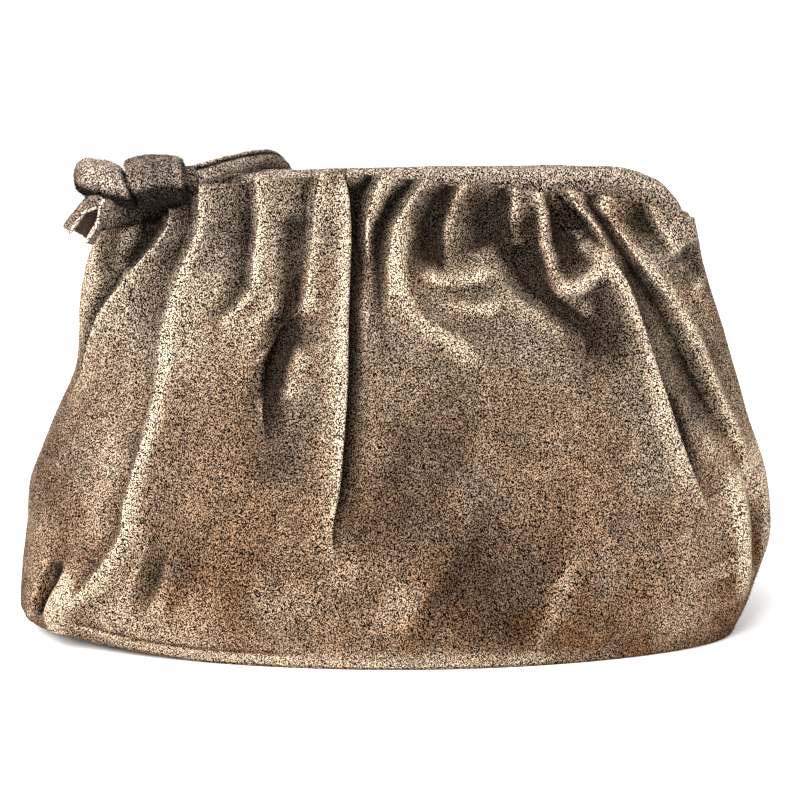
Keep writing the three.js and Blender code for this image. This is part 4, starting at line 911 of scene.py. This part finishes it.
def wrap(name, rows, seed, shade, creases):
    """One wrap of the knot: a puffed band round the knot's axis, its edges turned in."""
    table = columns(WRAP_COLUMNS, rows)
    around, steps = WRAP_AROUND, WRAP_STEPS
    place = np.linspace(0, len(rows) - 1, steps)
    at = {k: curve_at(np.arange(len(rows), dtype=float), v, place)[:, None] for k, v in table.items()}
    angle = (2 * math.pi * np.arange(around) / around)[None, :]
    c, s = np.cos(angle), np.sin(angle)
    radius = at["radius"] * KNOT_RADIUS
    edge = smooth((at["radius"] - 0.45) / 0.3)
    arc = angle * KNOT_RADIUS + 80
    axial = at["along"] * KNOT_RADIUS
    ripple = np.zeros((steps, around))
    for where, slant, depth, reach in creases:
        line = axial / KNOT_RADIUS - where - slant * np.sin(angle - 0.6)
        ripple -= depth * bump(line * KNOT_RADIUS, reach) * np.clip(1.2 * (1 - c) / 2 + 0.3, 0, 1)
    swell = 0.5 * noise(arc / 9, axial / 5 + 40, seed) + 0.22 * noise(arc / 4, axial / 2.6 + 9, seed + 1)
    radius = radius + edge * (ripple + swell)
    y = c * radius
    z = s * radius * np.where(s < 0, at["under"], 1)
    x = axial - at["lean"] * z
    points = KNOT_CENTRE + np.stack([x, y, z - at["drop"] * KNOT_RADIUS], -1)
    # Painted shade on the underside and, by the shade argument, over a whole wrap; painted shade in the turned-in
    # edges and the creases, and a painted highlight along the rims.
    low = UNDERSIDE_SHADE * smooth((-s + 0.05) / 0.75) + shade
    wear_and_painted_light = 0.35 * bump(np.abs(at["radius"] - 0.84), 0.07) - low - 0.9 * (1 - edge) + ripple * 0.5
    return make(name, points.reshape(-1, 3), tube_faces(steps, around), "knot",
                wear_and_painted_light=np.clip(wear_and_painted_light, -1, 1))


knot_pieces = [
    wrap("knot_left_wrap", LEFT_WRAP, 71, -0.1, [(-2.1, 0.25, 0.5, 1.1), (-1.35, 0.2, 0.35, 0.8)]),
    wrap("knot_right_wrap", RIGHT_WRAP, 75, 0.4, [(0.15, 0.2, 0.45, 0.9), (0.75, 0.15, 0.35, 0.7)]),
]


CORE_RUNS = [
    [[-118, -20.5, 195.5], [-108, -20, 197.2], [-98, -18.2, 199.2], [-91, -16, 200.2], [-85.6, -15.05, 200.45]],
    [[-105, -9.2, 202.55], [-105, -12, 202.3], [-104.5, -16, 201.5]],
]
CORE_STEPS, CORE_AROUND = 24, 24
CORE_SHARE = 0.97
# Painted shade on the core, which is seen only in the gap between the wraps.
CORE_SHADE = -0.5


def knot_core():
    """The strip inside the knot: it runs through both wraps, out to the strap and back from it."""
    points, faces = [], []
    angle = 2 * math.pi * np.arange(CORE_AROUND) / CORE_AROUND
    profile = STRAP_DIAMETER / 2 * CORE_SHARE * np.stack([np.cos(angle), np.sin(angle)], -1)
    for path in CORE_RUNS:
        centre, run, _ = catmull(path, CORE_STEPS)
        before = sum(len(p) for p in points)
        points.append(sweep(centre, run, profile).reshape(-1, 3))
        faces += [tuple(v + before for v in f) for f in tube_faces(CORE_STEPS, CORE_AROUND)]
    points = np.vstack(points)
    return make("knot_core", points, faces, "knot", wear_and_painted_light=np.full(len(points), CORE_SHADE))


knot_pieces.append(knot_core())

# Route of the tail, as shares of the knot's radius from its centre, its start one tail radius lower.
TAIL_ROUTE = [[-1.75, -0.12, 0.1], [-2.05, -0.18, -0.38], [-2.41, -0.27, -0.88], [-2.68, -0.31, -1.26],
              [-2.88, -0.33, -1.56]]
TAIL_STEPS, TAIL_AROUND = 40, 60
# How wide the roll stands open and where the opening faces, in radians.
TAIL_OPENING = 1.25
TAIL_FACING = -0.15


def tail_sheet(name, outside):
    """One face of the tail's open roll: the nap outside with its cut edges, or the bare leather inside."""
    path = KNOT_CENTRE + np.array(TAIL_ROUTE) * KNOT_RADIUS - [0, 0, TAIL_RADIUS]
    steps = TAIL_STEPS
    centre, run, _ = catmull(path, steps)
    along = np.linspace(0, 1, steps)
    share = np.linspace(0, 1, TAIL_AROUND)
    middle = TAIL_RADIUS - TAIL_WALL / 2
    half = TAIL_WALL / 2
    # The section as (share of the turn, distance from the wall's middle): nap, then both rounded edges.
    if outside:
        rim = [(0, -half * 0.9), (-0.012, -half * 0.4), (-0.014, half * 0.3), (-0.008, half * 0.8)]
        section = rim + [(v, half) for v in share] + [(1 + 0.008, half * 0.8), (1.014, half * 0.3),
                                                      (1.012, -half * 0.4), (1, -half * 0.9)]
    else:
        section = [(v, -half) for v in share]
    section = np.array(section)
    points = []
    for i in range(steps):
        forward = np.array([0, -1, 0]) + run[i] * run[i][1]
        forward /= np.linalg.norm(forward)
        sideways = np.cross(run[i], forward)
        flare = 1.06 + 0.16 * smooth((along[i] - 0.3) / 0.7)
        open_angle = TAIL_OPENING * (0.1 + 0.9 * smooth((along[i] - 0.3) / 0.3))
        angle = TAIL_FACING + open_angle / 2 + (2 * math.pi - open_angle) * section[:, 0]
        radius = (middle + section[:, 1]) * flare
        wobble = 0.35 * noise(angle * 1.7, np.full(len(angle), along[i] * 4), 83)
        ragged = 0.5 * noise(angle * 5, np.zeros(len(angle)), 84) * smooth((along[i] - 0.85) / 0.15)
        flat = np.where(np.cos(angle - TAIL_FACING) < 0, 0.9, 1)
        points.append(centre[i] + ((radius + wobble) * flat)[:, None] * (
            np.cos(angle)[:, None] * forward + np.sin(angle)[:, None] * sideways) + ragged[:, None] * run[i])
    if outside:
        # The cut end, rounded over the wall's thickness.
        last = points[-1]
        toward = centre[-1] - last
        toward /= np.linalg.norm(toward, axis=1)[:, None]
        wall = np.clip(section[:, 1:] + half, 0, None)
        points.append(last + run[-1] * 0.4 + toward * wall * 0.35)
        points.append(last + run[-1] * 0.25 + toward * wall * 0.98)
    points = np.array(points)
    rows, count = points.shape[:2]
    faces = [(i * count + j, i * count + j + 1, (i + 1) * count + j + 1, (i + 1) * count + j)
             for i in range(rows - 1) for j in range(count - 1)]
    if not outside:
        faces = [f[::-1] for f in faces]
    wear_and_painted_light = np.zeros((rows, count))
    if outside:
        wear_and_painted_light[:, :5] = wear_and_painted_light[:, -5:] = 1
        wear_and_painted_light[-3:] = 1
    return make(name, points.reshape(-1, 3), faces, "tail", wear_and_painted_light=wear_and_painted_light)


tail_nap = tail_sheet("tail_nap", True)
tail_lining = tail_sheet("tail_lining", False)


# ---------------------------------------------------------------- raised nap

# A fibre's width and how deep its foot sits, in millimetres, then how it droops and strays from upright.
FIBRE_WIDTH = 0.17
FIBRE_ROOT = 0.08
FIBRE_DROOP = 0.35
FIBRE_STRAY = 0.45


def nap(name, source, count, length, seed, centre=None):
    """Short raised fibres over a piece, one thin blade each. With a centre, they only grow on faces that
    are turned away from it."""
    mesh = source.data
    mesh.calc_loop_triangles()
    corners = np.empty(len(mesh.loop_triangles) * 3, np.int32)
    mesh.loop_triangles.foreach_get("vertices", corners)
    corners = corners.reshape(-1, 3)
    places = np.empty(len(mesh.vertices) * 3, np.float32)
    mesh.vertices.foreach_get("co", places)
    places = places.reshape(-1, 3).astype(float) / MM
    wear_and_painted_light = np.empty(len(mesh.vertices), np.float32)
    mesh.attributes["wear_and_painted_light"].data.foreach_get("value", wear_and_painted_light)
    a, b, c = (places[corners[:, k]] for k in range(3))
    normal = np.cross(b - a, c - a)
    area = np.linalg.norm(normal, axis=1)
    normal /= np.maximum(area, 1e-9)[:, None]
    if centre is not None:
        away = (a + b + c) / 3 - np.array(centre)
        away[:, 2] = 0
        area = area * (np.einsum("ij,ij->i", away, normal) > 0)
    rng = np.random.default_rng(seed)
    pick = rng.choice(len(area), count, p=area / area.sum())
    s, r = np.sqrt(rng.random(count)), rng.random(count)
    weight = np.stack([1 - s, s * (1 - r), s * r], -1)
    foot = np.einsum("ij,ijk->ik", weight, places[corners[pick]])
    up = normal[pick]
    way = up * rng.uniform(0.3, 1, (count, 1)) + rng.normal(0, FIBRE_STRAY, (count, 3)) + [0, 0, -FIBRE_DROOP]
    way /= np.linalg.norm(way, axis=1)[:, None]
    side = np.cross(way, up + rng.normal(0, 0.6, (count, 3)))
    side *= FIBRE_WIDTH / 2 / np.maximum(np.linalg.norm(side, axis=1), 1e-6)[:, None]
    long = length * rng.uniform(0.5, 1.3, (count, 1))
    foot = foot - up * FIBRE_ROOT
    points = np.stack([foot - side, foot + side, foot + way * long], 1).reshape(-1, 3)
    points[:, 2] = np.maximum(points[:, 2], 0.1)
    faces = np.arange(count * 3).reshape(-1, 3).tolist()
    # The fibres take the tone beneath them, with its wear, painted shade and painted highlights, and vary at random.
    under = np.einsum("ij,ij->i", weight, wear_and_painted_light[corners[pick]])
    tone = under + rng.uniform(-0.5, 0.6, count) * np.clip(1.1 + under, 0.1, 1)
    tone = np.repeat(np.clip(tone, -1, 1), 3)
    return make(name, points, faces, None, wear_and_painted_light=tone, smooth_shade=False)


body_nap = [
    nap("front_nap", front_panel, 60000, 0.9, 91, centre=(0, 0, 0)),
    nap("back_nap", back_panel, 24000, 0.9, 92, centre=(0, 0, 0)),
]
frame_nap = [nap("rail_nap", rail_front, 7000, 0.8, 93)]
strap_nap = [
    nap("strap_nap", strap_piece, 16000, 1.1, 94),
    nap("knot_left_nap", knot_pieces[0], 6000, 1.2, 95),
    nap("knot_right_nap", knot_pieces[1], 6000, 1.2, 96),
    nap("tail_fuzz", tail_nap, 2500, 1.0, 97),
]


# ---------------------------------------------------------------- materials


def linear(red, green, blue):
    """A screen colour of 0 to 255 as linear light."""
    out = []
    for value in (red, green, blue):
        v = value / 255
        out.append(v / 12.92 if v <= 0.04045 else ((v + 0.055) / 1.055) ** 2.4)
    return (*out, 1)


class Shader:
    """A node material, with short calls for the nodes that it needs."""

    def __init__(self, name):
        self.material = bpy.data.materials.new(name)
        self.material.use_nodes = True
        self.tree = self.material.node_tree
        self.base = self.tree.nodes["Principled BSDF"]
        self.coords = self.tree.nodes.new("ShaderNodeTexCoord").outputs["Object"]

    def link(self, source, target):
        """Feeds an input from another node, or sets it to a plain value."""
        if isinstance(source, bpy.types.NodeSocket):
            self.tree.links.new(source, target)
        else:
            target.default_value = source

    def noise(self, scale, detail=2.0, roughness=0.5, distortion=0.0, stretch=None):
        """Noise in metres: a scale of 1000 has cells of about 1 mm."""
        node = self.tree.nodes.new("ShaderNodeTexNoise")
        vector = self.coords
        if stretch:
            mapping = self.tree.nodes.new("ShaderNodeMapping")
            mapping.inputs["Scale"].default_value = stretch
            self.link(vector, mapping.inputs["Vector"])
            vector = mapping.outputs["Vector"]
        self.link(vector, node.inputs["Vector"])
        for key, value in zip(("Scale", "Detail", "Roughness", "Distortion"), (scale, detail, roughness, distortion)):
            node.inputs[key].default_value = value
        return node.outputs["Fac"]

    def ramp(self, value, stops):
        """A value turned into greys or colours, by their places from 0 to 1."""
        node = self.tree.nodes.new("ShaderNodeValToRGB")
        band = node.color_ramp
        while len(band.elements) < len(stops):
            band.elements.new(0.5)
        for element, (place, colour) in zip(band.elements, stops):
            element.position = place
            element.color = colour if hasattr(colour, "__len__") else (colour, colour, colour, 1)
        self.link(value, node.inputs["Fac"])
        return node.outputs["Color"]

    def mix(self, kind, share, a, b):
        node = self.tree.nodes.new("ShaderNodeMix")
        node.data_type = "RGBA"
        node.blend_type = kind
        self.link(share, node.inputs[0])
        self.link(a, node.inputs[6])
        self.link(b, node.inputs[7])
        return node.outputs[2]

    def maths(self, kind, a, b=0.0, clamp=False):
        node = self.tree.nodes.new("ShaderNodeMath")
        node.operation = kind
        node.use_clamp = clamp
        self.link(a, node.inputs[0])
        self.link(b, node.inputs[1])
        return node.outputs[0]

    def attribute(self, name):
        node = self.tree.nodes.new("ShaderNodeAttribute")
        node.attribute_name = name
        return node.outputs["Fac"]

    def height(self):
        node = self.tree.nodes.new("ShaderNodeSeparateXYZ")
        self.link(self.coords, node.inputs[0])
        return node.outputs[2]

    def bump(self, value, strength, distance, normal=None):
        node = self.tree.nodes.new("ShaderNodeBump")
        node.inputs["Strength"].default_value = strength
        node.inputs["Distance"].default_value = distance
        self.link(value, node.inputs["Height"])
        if normal is not None:
            self.link(normal, node.inputs["Normal"])
        return node.outputs["Normal"]


def suede(name, cool, warm, dark, pale, tan=None):
    """Napped suede: clouds of cooler and warmer nap, a coarse speckle, and the pieces' painted tone: ridges made
    paler (wear and painted highlight) and painted shade in creases.
    """
    m = Shader(name)
    clouds = m.noise(17, 3, 0.55, 0.5)
    tone = m.ramp(clouds, [(0.36, warm), (0.62, cool)])
    if tan is not None:
        low = m.ramp(m.maths("MULTIPLY", m.height(), 5), [(0.1, 1.0), (0.75, 0.0)])
        patch = m.ramp(m.noise(21, 3, 0.6, 0.6), [(0.38, 0.0), (0.6, 1.0)])
        share = m.maths("MULTIPLY", low, m.maths("ADD", m.maths("MULTIPLY", patch, 0.6), 0.35))
        tone = m.mix("MIX", share, tone, tan)
    mottle = m.ramp(m.noise(75, 4, 0.65), [(0.3, 0.72), (0.7, 1.28)])
    tone = m.mix("MULTIPLY", 1.0, tone, mottle)
    # Pale where the attribute is positive, from wear and painted highlights; dark where it is negative, from painted
    # shade.
    wear_and_painted_light = m.attribute("wear_and_painted_light")
    tone = m.mix("MIX", m.maths("MULTIPLY", wear_and_painted_light, 0.6, clamp=True), tone, pale)
    hollow = m.maths("POWER", m.maths("MULTIPLY", wear_and_painted_light, -1.0, clamp=True), 0.85)
    tone = m.mix("MIX", m.maths("MULTIPLY", hollow, 0.93), tone, dark)
    grain = m.noise(2300, 0, 0.5, 0.0, (1, 1, 0.75))
    tufts = m.noise(900, 2, 0.6)
    specks = m.ramp(grain, [(0.41, 0.03), (0.475, 0.25), (0.53, 1.6), (0.6, 4.6)])
    specks = m.mix("MULTIPLY", 1.0, specks, m.ramp(tufts, [(0.32, 0.75), (0.68, 1.25)]))
    tone = m.mix("MULTIPLY", 1.0, tone, specks)
    m.link(tone, m.base.inputs["Base Color"])
    m.base.inputs["Roughness"].default_value = 0.95
    m.base.inputs["Specular IOR Level"].default_value = 0.0
    m.base.inputs["Sheen Weight"].default_value = 0.004
    m.base.inputs["Sheen Roughness"].default_value = 0.5
    m.base.inputs["Sheen Tint"].default_value = (1, 0.95, 0.9, 1)
    lumps = m.bump(tufts, 0.4, 0.001)
    m.link(m.bump(grain, 0.8, 0.0008, lumps), m.base.inputs["Normal"])
    return m.material


BODY_SUEDE = suede(
    "body_suede", cool=linear(83, 73, 63), warm=linear(81, 67, 54), dark=linear(14, 10, 7),
    pale=linear(142, 127, 110), tan=linear(64, 45, 29))
FRAME_SUEDE = suede(
    "frame_suede", cool=linear(79, 70, 62), warm=linear(75, 64, 55), dark=linear(14, 10, 8),
    pale=linear(130, 118, 105))
STRAP_SUEDE = suede(
    "strap_suede", cool=linear(86, 76, 68), warm=linear(75, 63, 54), dark=linear(4, 3, 3),
    pale=linear(160, 146, 132))


def bare_leather():
    """The strip's bare inner face: dark brown with fine fibres."""
    m = Shader("bare_leather")
    tone = m.ramp(m.noise(300, 4, 0.7, 0.5), [(0.35, linear(30, 17, 10)), (0.65, linear(76, 46, 29))])
    m.link(m.mix("MULTIPLY", 1.0, tone, m.ramp(m.noise(1300, 2, 0.6), [(0.35, 0.7), (0.65, 1.3)])),
           m.base.inputs["Base Color"])
    m.base.inputs["Roughness"].default_value = 0.6
    m.base.inputs["Specular IOR Level"].default_value = 0.3
    m.link(m.bump(m.noise(900, 3, 0.6), 0.5, 0.0006), m.base.inputs["Normal"])
    return m.material


LEATHER = bare_leather()

for pieces, material in (
        ([front_panel, back_panel, base_panel, *body_nap], BODY_SUEDE),
        ([rail_front, rail_back, *frame_nap], FRAME_SUEDE),
        ([strap_piece, tail_nap, *knot_pieces, *strap_nap], STRAP_SUEDE), ([tail_lining], LEATHER)):
    for piece in pieces:
        piece.data.materials.append(material)


# ---------------------------------------------------------------- floor and light


def floor():
    """The plain pale surface that the bag stands on."""
    mesh = bpy.data.meshes.new("floor")
    size = 6
    mesh.from_pydata([(-size, -size, 0), (size, -size, 0), (size, size, 0), (-size, size, 0)], [], [(0, 1, 2, 3)])
    piece = bpy.data.objects.new("floor", mesh)
    bpy.context.scene.collection.objects.link(piece)
    material = bpy.data.materials.new("floor")
    material.use_nodes = True
    shader = material.node_tree.nodes["Principled BSDF"]
    shader.inputs["Base Color"].default_value = (0.95, 0.95, 0.95, 1)
    shader.inputs["Roughness"].default_value = 0.9
    shader.inputs["Specular IOR Level"].default_value = 0.1
    mesh.materials.append(material)


def area_light(name, place, aim, size, power, colour):
    """A soft square lamp at a place, turned towards its aim."""
    light = bpy.data.lights.new(name, "AREA")
    light.energy = power
    light.size = size
    light.color = colour
    holder = bpy.data.objects.new(name, light)
    bpy.context.scene.collection.objects.link(holder)
    holder.location = place
    holder.rotation_euler = (Vector(aim) - Vector(place)).to_track_quat("-Z", "Y").to_euler()


floor()
world = bpy.data.worlds.new("world")
world.use_nodes = True
world.node_tree.nodes["Background"].inputs["Color"].default_value = (1, 1, 1, 1)
world.node_tree.nodes["Background"].inputs["Strength"].default_value = 1.3
bpy.context.scene.world = world
area_light("key", (-0.75, -0.9, 1.35), (0, 0, 0.1), 1.5, 70, (1, 0.98, 0.95))
bpy.context.scene.view_settings.view_transform = "Standard"
bpy.context.scene.view_settings.look = "None"
